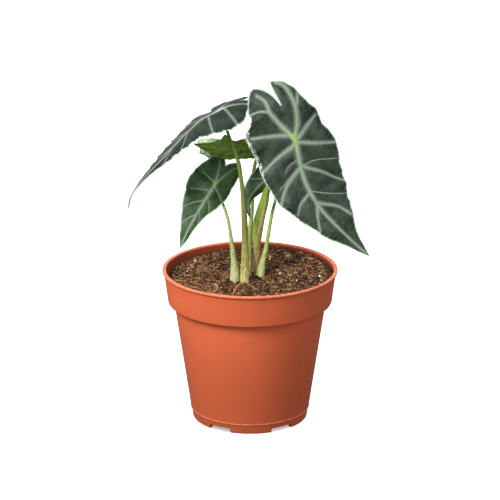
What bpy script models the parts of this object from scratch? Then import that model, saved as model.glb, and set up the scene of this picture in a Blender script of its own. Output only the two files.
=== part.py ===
"""Potted alocasia: a plastic nursery pot, filled with potting mix, with a six-leaved plant.

Sizes are in millimetres and become metres as each mesh is made. The pot stands on z = 0 with
its axis on the world Z axis, and the plant is placed from the middle of the soil surface.
"""

import math

import bmesh
import bpy
import numpy as np
from mathutils import Vector, noise

MM = 0.001

# Pot
RIM_RADIUS = 60.0
POT_HEIGHT = 106.0
WALL = 1.3
LIP_OVERHANG = 1.2
LIP_HEIGHT = 1.5
COLLAR_HEIGHT = 23.2
COLLAR_TAPER = 2.7
COLLAR_STEP = 4.0
BODY_TAPER = 0.149
SEAM_HEIGHT = 7.1
SEAM_STEP = 0.35
FOOT_WIDTH = 3.0
CHANNEL_HEIGHT = 5.0
CHANNEL_WIDTH = 10.0
SLOT_ANGLES = (-32.0, 34.0, 107.0, 180.0, 253.0)
SLOT_SPAN = 24.0
SLOT_HEIGHT = 3.0
DRAIN_RADIUS = 2.5
PLATE_SLOPE = 2.0
POT_SIDES = 90

# Planting
GAP = 0.3
SOIL_DEPTH_BELOW_RIM = 5.0
SOIL_FALL = 6.0
CROWN_RADIUS = 13.0
CROWN_HEIGHT = 16.0
STEM_DEPTH = 6.0
PLANT_HEIGHT = 137.0
MODELLED_PLANT_HEIGHT = 137.0
STEM_THICKNESS = 1.0
LEAF_THICKNESS = 0.8
STEM_SIDES = 12

PLANT_SCALE = PLANT_HEIGHT / MODELLED_PLANT_HEIGHT
SOIL_TOP = POT_HEIGHT - SOIL_DEPTH_BELOW_RIM

# Stem paths (x, y, z, radius) from the middle of the soil surface up to just below the leaf.
STEMS = {
    "left": [(-3.7, -10.5, 0, 2.9), (-3.4, -9.5, 22, 2.35), (-3.9, -9, 45.5, 1.9),
             (-5.3, -8.5, 66, 1.5), (-8.6, -8, 86, 1.2), (-12.5, -7.5, 97, 1.05)],
    "low": [(-10.2, -8.5, 0, 2.9), (-11, -7.5, 12.5, 2.3), (-13, -4, 29, 1.3),
            (-15, 1.5, 39.5, 1.1), (-18.9, 10, 49, 1.0)],
    "right": [(2.7, 7, 0, 2.5), (4.4, 5.5, 17, 2.6), (7.6, 2, 39, 2.4), (10.4, -1, 52, 2.1),
              (12.4, -4, 64, 1.9), (18.1, -11, 81, 1.6)],
    "small": [(6.8, -1.5, 0, 2.8), (8.5, -1, 10, 2.1), (10.8, 0, 19, 1.6), (12.7, 1, 30.5, 1.35),
              (14.7, 2.5, 42, 1.2), (17.5, 8.5, 52, 1.1), (20.5, 16.5, 63, 1.0)],
    "olive": [(-1, -0.5, 0, 2.4), (-0.3, 5, 26, 1.9), (1.4, 10.5, 43.5, 1.3), (2, 15, 66.5, 1.2)],
    "back": [(-3.8, 6, 0, 2.4), (-4.1, 11, 29, 1.5), (-4.7, 18, 49, 1.2), (-6, 26, 62, 1.1),
             (-8.3, 33.5, 72, 1.1), (-14.5, 35.5, 76.5, 1.1)],
}

# Leaves. The spine runs from between the lobes, over the stem joint, to the tip; the edges are
# (distance along the spine from the joint, half width), from a lobe's end round to the tip.
# A fold is (share of the way to the tip, degrees that the blade's halves drop from the spine).
# Left and right are as seen looking along the spine at the upper face.
LEAVES = {
    "right": {
        "spine": [(9.3, -14, 136.8), (20.6, -20, 126), (29.4, -25, 104.7), (35.7, -33, 79.3),
                  (46.6, -40, 60.9), (65.4, -48, 42.9), (79.4, -52.6, 31.2)],
        "joint": 2, "notch": -24.0, "facing": ((0.02, -0.94, 0.34), (-0.05, -0.92, 0.40)),
        "fold": [(0, 9), (1, 4)], "ripple": 1.6, "waves": 4.5,
        "right_sinus": 4.5,
        "left_edge": [(-41, 5.5), (-38, 9), (-34, 12), (-25.5, 15), (-17.5, 18), (-11.5, 21),
                      (-3, 22), (2, 25), (7.5, 27.5), (15.5, 27.5), (29.5, 26.5), (45.5, 24.5),
                      (58.5, 19), (69, 14), (74.5, 9.5), (81.5, 6)],
        "right_edge": [(-45, 6), (-44.5, 9.5), (-42, 13), (-39, 17), (-36, 20.5), (-28.5, 23),
                       (-21.5, 24.5), (-16.5, 28), (-12, 30.5), (-2.5, 30.5), (8, 28.5),
                       (15, 27.5), (23, 25.5), (30, 23.5), (37, 21.5), (46.5, 17), (57, 13),
                       (69, 10), (81, 5)],
    },
    "left": {
        "spine": [(3, 14, 122), (-12, 4.5, 120.8), (-20.7, -2, 117.6), (-31.4, -6.5, 112.9),
                  (-41.6, -9.5, 104.8), (-58.4, -13, 87), (-73.2, -14.5, 71.4), (-80, -15, 61),
                  (-82.2, -15, 52)],
        "joint": 2, "notch": -19.0, "facing": ((0, 0.09, 1), (0, -0.17, 0.98)),
        "fold": [(0, 17), (1, -3)], "ripple": 0.8, "waves": 3.5,
        "right_fold": [(-0.27, 0), (-0.1, 11), (0, 17), (0.08, 14), (0.18, 10), (0.32, 9), (1, -3)],
        "left_edge": [(-24, 3), (-22, 6.5), (-16.5, 12.5), (-9, 18.5), (-2, 22.5), (4, 27),
                      (9, 27), (15, 22), (22, 17.5), (31, 14.5), (43, 10.5), (60, 5.5),
                      (77, 2)],
        "right_edge": [(-28, 4), (-26, 7), (-17, 9.5), (-8, 13), (0, 18.5), (7, 21.5), (18, 20.5),
                       (31, 17), (43, 14), (58, 9), (75, 2.5)],
    },
    "low": {
        "spine": [(-12, 22, 80), (-23.8, 9.5, 62.5), (-29.2, 4, 55), (-35.3, -3, 46.6),
                  (-42, -9, 35.7), (-47.7, -13, 23.1)],
        "joint": 1, "notch": -15.0, "facing": ((0.12, -0.90, 0.38), (0.0, -0.93, 0.34)),
        "fold": [(0, 14), (1, 10)], "ripple": 0.7, "waves": 2.5,
        "left_edge": [(-22, 7), (-19, 10.5), (-10, 12.5), (-2, 12.5), (6, 12.5), (14, 10),
                      (24, 6.3), (34, 4.2), (44, 2.4)],
        "right_edge": [(-22, 7), (-19, 11), (-11, 14), (-2, 17.5), (8, 17.3), (19, 13.8),
                       (29, 9.8), (40, 4.8)],
    },
    "small": {
        "spine": [(26, 15, 80.5), (20.5, 11, 75.2), (13.6, 7, 69.1), (6.6, 4, 63),
                  (1, 1, 57.3), (-1.2, -0.5, 51.8), (-0.8, -1.5, 46), (0.3, -1.5, 40.7)],
        "joint": 1, "notch": -4.5, "facing": ((0.25, -0.90, 0.35), (0.45, -0.85, 0.2)),
        "fold": [(0, 28), (1, 38)], "ripple": 0.5, "waves": 2.0,
        "left_edge": [(-8, 3), (-6, 5), (0, 7), (8, 7.7), (17, 7.2), (27, 5.2), (34, 2.8)],
        "right_edge": [(-8, 3), (-6, 6), (0, 9), (8, 11), (17, 10.5), (26, 8), (34, 4)],
    },
    "olive": {
        "spine": [(16.3, 20.5, 83.5), (4.1, 17, 84.6), (-6.8, 13, 85.9), (-15, 9.5, 87),
                  (-24.4, 7.5, 88.3), (-31.8, 5.5, 90.2), (-38.2, 4, 92.5)],
        "joint": 1, "notch": -6.0, "facing": ((0.12, 0.80, 0.58), (0.2, 0.80, 0.56)),
        "fold": [(0, -8), (1, -14)], "right_fold": [(0, 2), (0.35, 5), (1, -2)],
        "ripple": 0.7, "waves": 2.0,
        "left_edge": [(-11, 4), (-9, 8), (-3, 11), (6, 11.5), (12, 11.2), (17, 9.7), (20.5, 9.2),
                      (23, 13), (26, 12.3), (28, 8), (34, 5)],
        "right_edge": [(-12, 5), (-10, 9.5), (-3, 11.2), (4, 10.8), (11, 10.4), (16.5, 12.4),
                       (22, 11.3), (27, 9.7), (31, 7), (35, 4.4)],
    },
    "back": {
        "spine": [(-37, 25.5, 83.7), (-23, 29, 82.5), (-8, 38, 79), (5, 47, 75), (16, 56, 69)],
        "joint": 1, "notch": -11.5, "facing": ((-0.3, -0.62, 0.72), (0.1, -0.5, 0.85)),
        "fold": [(0, 12), (1, 8)], "ripple": 0.6, "waves": 2.0,
        "left_edge": [(-12.5, 5), (-11, 7.5), (-3, 9.8), (6, 9.8), (18, 9), (30, 6), (40, 3)],
        "right_edge": [(-12.5, 4.5), (-9, 6), (-6, 8.2), (-2, 6.8), (6, 6.2), (18, 5.5), (30, 4.5),
                       (40, 2.5)],
    },
}
LOBE_ROWS = 5
BLADE_ROWS = 13
HALF_COLUMNS = 4
STEM_RINGS = 14
SINUS_CURVE = 1.6
SPINE_RUN_OUT = 10.0

BARK_STRIPS = {
    "front": [(-3.6, -15), (-6.5, -18), (-9.5, -25), (-11.5, -35)],
    "left": [(-24, -13.5), (-22, -19), (-22.5, -26), (-25.5, -31)],
}
BARK_WIDTH = 1.5

PLASTIC = ("terracotta_plastic", (0.53, 0.10, 0.045), 0.50, 0.0)
MIX = ("potting_mix", (0.085, 0.036, 0.016), 0.95, 0.0)
CROWN_SKIN = ("crown_skin", (0.20, 0.13, 0.07), 0.80, 0.0)
DARK_BLADE = ("dark_leaf", (0.055, 0.105, 0.06), 0.38, 0.0)
OLIVE_BLADE = ("olive_leaf_underside", (0.07, 0.12, 0.02), 0.50, 0.0)
PALE_BLADE = ("pale_young_leaf", (0.20, 0.32, 0.16), 0.45, 0.0)
STEM_SKIN = ("stem_skin", (0.28, 0.33, 0.12), 0.45, 0.0)
FRESH_SHEATH = ("fresh_sheath", (0.20, 0.36, 0.04), 0.45, 0.0)
DRY_SHEATH = ("dry_sheath", (0.30, 0.12, 0.04), 0.80, 0.0)
BARK = ("bark", (0.22, 0.08, 0.03), 0.85, 0.0)
BLADE_MATERIALS = {"right": DARK_BLADE, "left": DARK_BLADE, "low": DARK_BLADE,
                   "small": DARK_BLADE, "olive": OLIVE_BLADE, "back": PALE_BLADE}


def clear_scene():
    """Remove whatever the new file holds."""
    for thing in list(bpy.data.objects):
        bpy.data.objects.remove(thing, do_unlink=True)


def get_material(spec):
    """The Principled material for a (name, colour, roughness, metallic) spec."""
    name, colour, roughness, metallic = spec
    material = bpy.data.materials.get(name)
    if material is None:
        material = bpy.data.materials.new(name)
        material.use_nodes = True
        shader = material.node_tree.nodes["Principled BSDF"]
        shader.inputs["Base Color"].default_value = (*colour, 1.0)
        shader.inputs["Roughness"].default_value = roughness
        shader.inputs["Metallic"].default_value = metallic
        material.diffuse_color = (*colour, 1.0)
    return material


def add_mesh(name, points, faces, spec, sharp_angle=40.0):
    """A named, smooth-shaded object from points in millimetres."""
    mesh = bpy.data.meshes.new(name)
    mesh.from_pydata([Vector(point) * MM for point in points], [], faces)
    shape = bmesh.new()
    shape.from_mesh(mesh)
    bmesh.ops.remove_doubles(shape, verts=shape.verts, dist=1e-6)
    bmesh.ops.recalc_face_normals(shape, faces=shape.faces)
    shape.to_mesh(mesh)
    shape.free()
    mesh.materials.append(get_material(spec))
    mesh.shade_smooth()
    mesh.set_sharp_from_angle(angle=math.radians(sharp_angle))
    thing = bpy.data.objects.new(name, mesh)
    bpy.context.collection.objects.link(thing)
    return thing


def cut(target, cutter):
    """Subtract the cutter, which stays in the file as a wire guide."""
    cutter.hide_render = True
    cutter.display_type = "WIRE"
    step = target.modifiers.new("cut " + cutter.name, "BOOLEAN")
    step.operation = "DIFFERENCE"
    step.solver = "EXACT"
    step.object = cutter


def smooth_curve(points, count):
    """Evenly spaced points of a smooth curve through the given ones, as an array."""
    knots = np.array(points, dtype=float)
    padded = np.vstack([2 * knots[0] - knots[1], knots, 2 * knots[-1] - knots[-2]])
    fine = []
    for index in range(1, len(padded) - 2):
        before, start, end, after = padded[index - 1:index + 3]
        for step in np.linspace(0.0, 1.0, 24, endpoint=False):
            fine.append(0.5 * (2 * start + (end - before) * step
                               + (2 * before - 5 * start + 4 * end - after) * step ** 2
                               + (3 * start - before - 3 * end + after) * step ** 3))
    fine.append(knots[-1])
    fine = np.array(fine)
    along = path_lengths(fine)
    wanted = np.linspace(0.0, along[-1], count)
    return np.column_stack([np.interp(wanted, along, column) for column in fine.T])


def path_lengths(points):
    """Distance from the first point to each point of a path."""
    steps = np.linalg.norm(np.diff(points[:, :3], axis=0), axis=1)
    return np.concatenate([[0.0], np.cumsum(steps)])


def turned(name, profile, sides, spec):
    """A solid turned about the Z axis from a closed (radius, height) profile."""
    points = []
    for radius, height in profile:
        for side in range(sides):
            angle = math.tau * side / sides
            points.append((radius * math.cos(angle), radius * math.sin(angle), height))
    faces = []
    for ring in range(len(profile)):
        above = (ring + 1) % len(profile)
        if profile[ring][0] == 0.0 and profile[above][0] == 0.0:
            continue
        for side in range(sides):
            after = (side + 1) % sides
            faces.append((ring * sides + side, ring * sides + after,
                          above * sides + after, above * sides + side))
    return add_mesh(name, points, faces, spec)


def tube(name, path, spec, sides=STEM_SIDES, flat=1.0, end_normal=None):
    """A closed tube along (x, y, z, radius) points; flat squashes it across its width.

    The last ring lies square to end_normal when one is given.
    """
    centres = [Vector(row[:3]) for row in path]
    points = []
    sideways = Vector((1.0, 0.0, 0.0))
    for index, centre in enumerate(centres):
        ahead = centres[min(index + 1, len(centres) - 1)] - centres[max(index - 1, 0)]
        if end_normal is not None and index == len(centres) - 1:
            ahead = end_normal
        ahead = ahead.normalized()
        sideways = (sideways - ahead * sideways.dot(ahead)).normalized()
        across = ahead.cross(sideways)
        for side in range(sides):
            angle = math.tau * side / sides
            offset = sideways * math.cos(angle) + across * math.sin(angle) * flat
            points.append(centre + offset * path[index][3])
    faces = [tuple(range(sides)), tuple(range(len(points) - sides, len(points)))]
    for ring in range(len(centres) - 1):
        for side in range(sides):
            after = (side + 1) % sides
            faces.append((ring * sides + side, ring * sides + after,
                          (ring + 1) * sides + after, (ring + 1) * sides + side))
    return add_mesh(name, points, faces, spec)


def body_radius(height):
    """Outer radius of the pot's tapering body at a height."""
    collar_bottom = POT_HEIGHT - COLLAR_HEIGHT
    top = RIM_RADIUS - LIP_OVERHANG - COLLAR_TAPER - COLLAR_STEP
    return top - (collar_bottom - height) * BODY_TAPER


def collar_radius(height):
    """Outer radius of the collar at a height."""
    fall = (POT_HEIGHT - LIP_HEIGHT - height) / (COLLAR_HEIGHT - LIP_HEIGHT)
    return RIM_RADIUS - LIP_OVERHANG - COLLAR_TAPER * fall


def inner_profile(inset):
    """The pot's inner wall from its top down to the floor's middle, set in by an amount."""
    collar_bottom = POT_HEIGHT - COLLAR_HEIGHT
    shoulder = collar_bottom + WALL * 1.5
    floor_edge = body_radius(CHANNEL_HEIGHT) - WALL
    plate = floor_edge - CHANNEL_WIDTH
    raised = CHANNEL_HEIGHT + WALL
    return [(collar_radius(POT_HEIGHT - LIP_HEIGHT) - WALL - inset, POT_HEIGHT),
            (collar_radius(shoulder) - WALL - inset, shoulder + inset),
            (body_radius(collar_bottom) - WALL - inset, collar_bottom + inset - WALL),
            (floor_edge - inset, raised + inset),
            (plate, raised + inset),
            (plate - PLATE_SLOPE - inset, WALL + inset),
            (0.0, WALL + inset)]


def build_pot():
    """The pot: collar, tapering body, raised drain channel, slotted foot and flat middle."""
    collar_bottom = POT_HEIGHT - COLLAR_HEIGHT
    lip_bottom = POT_HEIGHT - LIP_HEIGHT
    foot_inner = body_radius(0.0) - FOOT_WIDTH
    plate = body_radius(CHANNEL_HEIGHT) - WALL - CHANNEL_WIDTH
    outer = [(0.0, 0.0), (plate - PLATE_SLOPE + WALL, 0.0), (plate + WALL, CHANNEL_HEIGHT),
             (foot_inner - 0.4, CHANNEL_HEIGHT), (foot_inner, 0.0),
             (body_radius(0.0) - SEAM_STEP, 0.0),
             (body_radius(SEAM_HEIGHT) - SEAM_STEP, SEAM_HEIGHT),
             (body_radius(SEAM_HEIGHT), SEAM_HEIGHT + SEAM_STEP),
             (body_radius(collar_bottom), collar_bottom),
             (collar_radius(collar_bottom), collar_bottom + 0.3),
             (collar_radius(lip_bottom), lip_bottom - 0.6),
             (RIM_RADIUS, lip_bottom), (RIM_RADIUS, POT_HEIGHT - 0.4),
             (RIM_RADIUS - 0.5, POT_HEIGHT)]
    pot = turned("pot", outer + inner_profile(0.0), POT_SIDES, PLASTIC)
    for number, angle in enumerate(SLOT_ANGLES, start=1):
        cut(pot, slot_cutter("slot cutter %d" % number, angle, foot_inner))
        cut(pot, drain_cutter("drain cutter %d" % number, angle, plate))
    return pot


def slot_cutter(name, angle, foot_inner):
    """A curved wedge that opens the foot wall about an angle from the front."""
    inner = foot_inner - 2.0
    outer = body_radius(SLOT_HEIGHT) + 3.0
    steps = 6
    points = []
    for step in range(steps + 1):
        turn = math.radians(angle + SLOT_SPAN * (step / steps - 0.5) - 90.0)
        for radius, height in ((inner, -3.0), (outer, -3.0), (outer, SLOT_HEIGHT),
                               (inner, SLOT_HEIGHT)):
            points.append((radius * math.cos(turn), radius * math.sin(turn), height))
    faces = [(0, 1, 2, 3), tuple(range(4 * steps, 4 * steps + 4))]
    for step in range(steps):
        for corner in range(4):
            after = (corner + 1) % 4
            faces.append((4 * step + corner, 4 * step + after,
                          4 * step + 4 + after, 4 * step + 4 + corner))
    return add_mesh(name, points, faces, PLASTIC)


def drain_cutter(name, angle, plate):
    """A short upright rod that makes a drain hole through the channel's roof."""
    turn = math.radians(angle - 90.0)
    radius = plate + WALL * 2.0 + DRAIN_RADIUS
    path = [(radius * math.cos(turn), radius * math.sin(turn), height, DRAIN_RADIUS)
            for height in (CHANNEL_HEIGHT - 1.0, CHANNEL_HEIGHT + WALL + 1.0)]
    return tube(name, path, PLASTIC, sides=16)


def soil_height(x, y):
    """Height of the soil surface: highest at the back right, mounded round the plant."""
    reach = math.hypot(x, y)
    slope = 2.6 * x / RIM_RADIUS + 3.0 * y / RIM_RADIUS
    mound = 1.1 * math.exp(-(reach / 20.0) ** 2)
    lumps = 0.7 * noise.noise(Vector((x, y, 3.0)) * 0.09)
    return SOIL_TOP - 1.1 + slope + mound + lumps


def build_soil():
    """The potting mix: the pot's inside less a small gap, with an uneven top."""
    sides = 48
    walls = inner_profile(GAP)
    rings = 7
    edge = collar_radius(SOIL_TOP - SOIL_FALL) - WALL - GAP
    points = []
    for ring in range(rings + 1):
        for side in range(sides):
            angle = math.tau * side / sides
            x = edge * ring / rings * math.cos(angle)
            y = edge * ring / rings * math.sin(angle)
            points.append((x, y, soil_height(x, y)))
    for radius, height in walls[1:]:
        for side in range(sides):
            angle = math.tau * side / sides
            points.append((radius * math.cos(angle), radius * math.sin(angle), height))
    faces = []
    for ring in range(len(points) // sides - 1):
        for side in range(sides):
            after = (side + 1) % sides
            faces.append((ring * sides + side, ring * sides + after,
                          (ring + 1) * sides + after, (ring + 1) * sides + side))
    return add_mesh("soil", points, faces, MIX)


def crown_profile(grow):
    """Half outline of the buried crown, grown by an amount all round."""
    top = SOIL_TOP - STEM_DEPTH - GAP
    return [(0.0, top + grow), (CROWN_RADIUS * 0.8 + grow, top + grow),
            (CROWN_RADIUS + grow, top - 3.0), (CROWN_RADIUS * 0.9 + grow, top - CROWN_HEIGHT * 0.6),
            (CROWN_RADIUS * 0.5 + grow, top - CROWN_HEIGHT - grow),
            (0.0, top - CROWN_HEIGHT - grow)]


def spine_samples(leaf):
    """Fine spine points in millimetres and their distance from the stem joint."""
    knots = np.array(leaf["spine"], dtype=float) * PLANT_SCALE
    knots[:, 2] += SOIL_TOP
    behind = knots[0] - knots[1]
    start = knots[0] + behind / np.linalg.norm(behind) * SPINE_RUN_OUT * PLANT_SCALE
    fine = smooth_curve(np.vstack([start, knots]), 200)
    along = path_lengths(fine)
    joint = np.argmin(np.linalg.norm(fine - knots[leaf["joint"]], axis=1))
    return fine, along - along[joint]


def leaf_frame(leaf, samples, distance):
    """Spine point, left side and upper normal at a distance from the stem joint."""
    fine, along = samples
    here = Vector([np.interp(distance, along, column) for column in fine.T])
    step = 2.0
    ahead = Vector([np.interp(distance + step, along, column) for column in fine.T])
    behind = Vector([np.interp(distance - step, along, column) for column in fine.T])
    forward = (ahead - behind).normalized()
    share = min(max(distance / along[-1], 0.0), 1.0)
    near, far = (Vector(row) for row in leaf["facing"])
    normal = near.lerp(far, share)
    normal = (normal - forward * normal.dot(forward)).normalized()
    return here, normal.cross(forward), normal


def leaf_point(leaf, samples, distance, across):
    """Point of the blade at a distance along the spine and to the left (+) or right (-)."""
    here, left, normal = leaf_frame(leaf, samples, distance)
    stops = leaf.get("right_fold", leaf["fold"]) if across < 0.0 else leaf["fold"]
    fold = math.radians(np.interp(distance / samples[1][-1], *zip(*stops)))
    widest = max(width for _, width in leaf["left_edge"] + leaf["right_edge"]) * PLANT_SCALE
    reach = abs(across) / widest
    phase = 0.0 if across > 0.0 else 2.0
    turns = leaf["waves"] * math.tau * distance / samples[1][-1]
    wave = leaf["ripple"] * PLANT_SCALE * math.sin(turns + phase)
    lift = -abs(across) * math.sin(fold) + wave * reach ** 2
    return here + left * across * math.cos(fold) + normal * lift


def sheet_rows(leaf, samples, edge_name, sign):
    """Rows of blade points, lobe end to tip, each running from the spine side outwards."""
    length = samples[1][-1]
    notch = leaf["notch"] * PLANT_SCALE
    edge = [(along * PLANT_SCALE, width * PLANT_SCALE) for along, width in leaf[edge_name]]
    edge.append((length, 0.0))
    outline = smooth_curve([(along, width, 0.0) for along, width in edge], 300)
    outline[:, 0] = np.maximum.accumulate(outline[:, 0])
    lobe_end, lobe_width = edge[0]
    curve = leaf.get("right_sinus", SINUS_CURVE) if sign < 0.0 else SINUS_CURVE
    stations = [lobe_end + (notch - lobe_end) * (row / LOBE_ROWS) ** 1.5
                for row in range(LOBE_ROWS)]
    for row in range(BLADE_ROWS + 1):
        stations.append(notch + (length - notch) * row / BLADE_ROWS)
    rows = []
    for station in stations:
        outer = max(float(np.interp(station, outline[:, 0], outline[:, 1])), 0.0)
        inner = 0.0
        if station < notch:
            inner = lobe_width * ((notch - station) / (notch - lobe_end)) ** curve
        row = []
        for column in range(HALF_COLUMNS + 1):
            across = inner + (outer - inner) * column / HALF_COLUMNS
            row.append(leaf_point(leaf, samples, station, sign * across))
        rows.append(row)
    return rows


def build_leaf(name):
    """A leaf blade as a thin closed solid: two ruled halves meeting on the spine."""
    leaf = LEAVES[name]
    samples = spine_samples(leaf)
    points = []
    faces = []
    for edge_name, sign in (("left_edge", 1.0), ("right_edge", -1.0)):
        rows = sheet_rows(leaf, samples, edge_name, sign)
        start = len(points)
        width = HALF_COLUMNS + 1
        for row in rows:
            points.extend(row)
        for row in range(len(rows) - 1):
            for column in range(HALF_COLUMNS):
                corner = start + row * width + column
                face = (corner, corner + 1, corner + width + 1, corner + width)
                faces.append(face if sign > 0.0 else face[::-1])
    blade = add_mesh(name + "_leaf", points, faces, BLADE_MATERIALS[name], sharp_angle=60.0)
    thicken = blade.modifiers.new("thickness", "SOLIDIFY")
    thicken.thickness = LEAF_THICKNESS * MM
    thicken.offset = 0.0
    return blade


def stem_scale(name):
    """How much a stem may be thickened before its base meets its nearest neighbour."""
    base = STEMS[name][0]
    share = STEM_THICKNESS
    for other, path in STEMS.items():
        if other == name:
            continue
        apart = math.hypot(base[0] - path[0][0], base[1] - path[0][1]) * PLANT_SCALE
        share = min(share, (apart - GAP) / (base[3] + path[0][3]) / PLANT_SCALE)
    return share


def stem_path(name, grow=0.0, rise=0.0):
    """Stem points from below the soil to under the leaf, thickened by an amount."""
    thickness = stem_scale(name)
    x, y, _, radius = STEMS[name][0]
    path = [(x, y, -STEM_DEPTH / PLANT_SCALE, radius * 0.85)]
    path += STEMS[name]
    path = np.array(path, dtype=float) * PLANT_SCALE
    path[:, 2] += SOIL_TOP
    path[:, 3] = path[:, 3] * thickness + grow
    if rise:
        lower = path[0].copy()
        lower[2] -= rise
        upper = path[1].copy()
        upper[2] += STEM_DEPTH
        return np.array([lower, path[0], path[1], upper])
    leaf = LEAVES[name]
    here, _, normal = leaf_frame(leaf, spine_samples(leaf), 0.0)
    end_radius = path[-1][3]
    fold = math.radians(max(leaf["fold"][0][1], 0.0))
    below = LEAF_THICKNESS * 0.5 + GAP * 1.5 + end_radius * math.tan(fold)
    approach = here - normal * (below + 4.0)
    joint = here - normal * below
    path = np.vstack([path, [*approach, end_radius], [*joint, end_radius]])
    return path


def build_stem(name):
    """A leaf stalk from the crown to just under its leaf's joint."""
    leaf = LEAVES[name]
    _, _, normal = leaf_frame(leaf, spine_samples(leaf), 0.0)
    path = smooth_curve(stem_path(name), STEM_RINGS)
    return tube(name + "_stem", path, STEM_SKIN, end_normal=normal)


def beside_stem(name, heights, turn, widths):
    """Points just outside a stem at some heights, in a direction turned from the front."""
    path = smooth_curve(stem_path(name), 120)
    angle = math.radians(turn - 90.0)
    direction = np.array([math.cos(angle), math.sin(angle), 0.0])
    points = []
    for height, width in zip(heights, widths):
        level = SOIL_TOP + height * PLANT_SCALE
        row = [np.interp(level, path[:, 2], column) for column in path.T]
        clear = row[3] + GAP + width * PLANT_SCALE * 1.05
        points.append((*(np.array(row[:3]) + direction * clear), width * PLANT_SCALE))
    return points


def build_sheaths():
    """The fresh sheath edge and the dried remnant, both beside the right stem."""
    fresh = beside_stem("right", (30, 38, 46, 54, 62), -75.0, (0.9, 1.1, 1.0, 0.8, 0.5))
    tube("green_sheath", smooth_curve(fresh, 9), FRESH_SHEATH, sides=8)
    dry = beside_stem("right", (3.5, 8, 13, 17), 35.0, (1.0, 1.2, 1.0, 0.5))
    tube("dry_sheath", smooth_curve(dry, 7), DRY_SHEATH, sides=8)


def build_bark():
    """Curled bark strips lying just clear of the soil."""
    for name, strip in BARK_STRIPS.items():
        path = [(x, y, soil_height(x, y) + BARK_WIDTH * 0.5 + 0.6, BARK_WIDTH * 0.5)
                for x, y in strip]
        tube("bark_" + name, smooth_curve(path, 9), BARK, sides=8)


def main():
    clear_scene()
    build_pot()
    soil = build_soil()
    turned("crown", crown_profile(0.0), 20, CROWN_SKIN)
    cut(soil, turned("crown cutter", crown_profile(GAP), 20, MIX))
    for name in STEMS:
        build_stem(name)
        pocket = stem_path(name, grow=GAP * 1.5, rise=0.6)
        cut(soil, tube(name + " stem cutter", pocket, MIX))
        build_leaf(name)
    build_sheaths()
    build_bark()


main()
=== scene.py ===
"""Potted alocasia: the finished looks of the plant, its potting mix and its nursery pot.

Lengths typed in this file are millimetres unless a name says otherwise. The packed model is in
metres, and the plant is placed from the pot's box: its root point is the middle of the soil.
"""
import math

import bmesh
import bpy
import numpy as np
from bpy.props import FloatProperty, FloatVectorProperty, IntProperty, PointerProperty
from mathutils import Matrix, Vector, noise


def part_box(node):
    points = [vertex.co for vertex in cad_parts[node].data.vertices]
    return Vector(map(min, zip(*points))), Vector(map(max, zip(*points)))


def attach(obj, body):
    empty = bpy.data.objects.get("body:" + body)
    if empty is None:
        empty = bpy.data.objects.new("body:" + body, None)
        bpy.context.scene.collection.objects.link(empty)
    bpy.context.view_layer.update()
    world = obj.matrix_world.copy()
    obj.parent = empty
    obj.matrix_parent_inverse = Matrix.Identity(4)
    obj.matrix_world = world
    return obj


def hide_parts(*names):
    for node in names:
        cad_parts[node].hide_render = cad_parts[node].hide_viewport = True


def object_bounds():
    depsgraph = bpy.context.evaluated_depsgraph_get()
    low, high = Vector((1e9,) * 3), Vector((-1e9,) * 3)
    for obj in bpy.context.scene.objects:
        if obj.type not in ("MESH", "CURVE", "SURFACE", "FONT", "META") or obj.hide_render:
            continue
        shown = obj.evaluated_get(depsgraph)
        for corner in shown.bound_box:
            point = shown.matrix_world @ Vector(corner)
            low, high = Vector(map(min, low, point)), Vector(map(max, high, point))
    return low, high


bl_info = {
    "name": "Potted Alocasia",
    "version": (1, 0, 0),
    "blender": (4, 5, 0),
    "location": "View3D > Sidebar > Alocasia",
    "description": "Builds a young alocasia with silver-veined leaves in a terracotta nursery pot",
    "category": "Object",
}

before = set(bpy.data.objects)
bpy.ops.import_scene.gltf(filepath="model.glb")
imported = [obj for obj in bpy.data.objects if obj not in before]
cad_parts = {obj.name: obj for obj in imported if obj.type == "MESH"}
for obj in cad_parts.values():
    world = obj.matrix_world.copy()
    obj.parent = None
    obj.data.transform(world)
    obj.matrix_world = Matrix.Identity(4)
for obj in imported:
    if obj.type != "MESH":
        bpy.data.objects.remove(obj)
CAD_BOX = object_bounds()

MM = 0.001
BODY = "root"
POT_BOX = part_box("pot")
RIM_RADIUS = (POT_BOX[1][0] - POT_BOX[0][0]) / 2 / MM
POT_HEIGHT = POT_BOX[1][2] / MM
SOIL_TOP = POT_HEIGHT - 5.0

# The pot's outline, as in the packed model.
LIP_OVERHANG = 1.2
LIP_HEIGHT = 1.5
COLLAR_HEIGHT = 23.2
COLLAR_TAPER = 2.7
COLLAR_STEP = 4.0
COLLAR_INSET = 2.5
BODY_TAPER = 0.149
SEAM_HEIGHT = 7.05
FOOT_WIDTH = 3.0
CHANNEL_HEIGHT = 5.0
CHANNEL_WIDTH = 10.0
SLOT_ANGLES = (-32.0, 34.0, 107.0, 180.0, 253.0)
SLOT_SPAN = 24.0
SLOT_HEIGHT = 3.0

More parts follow.
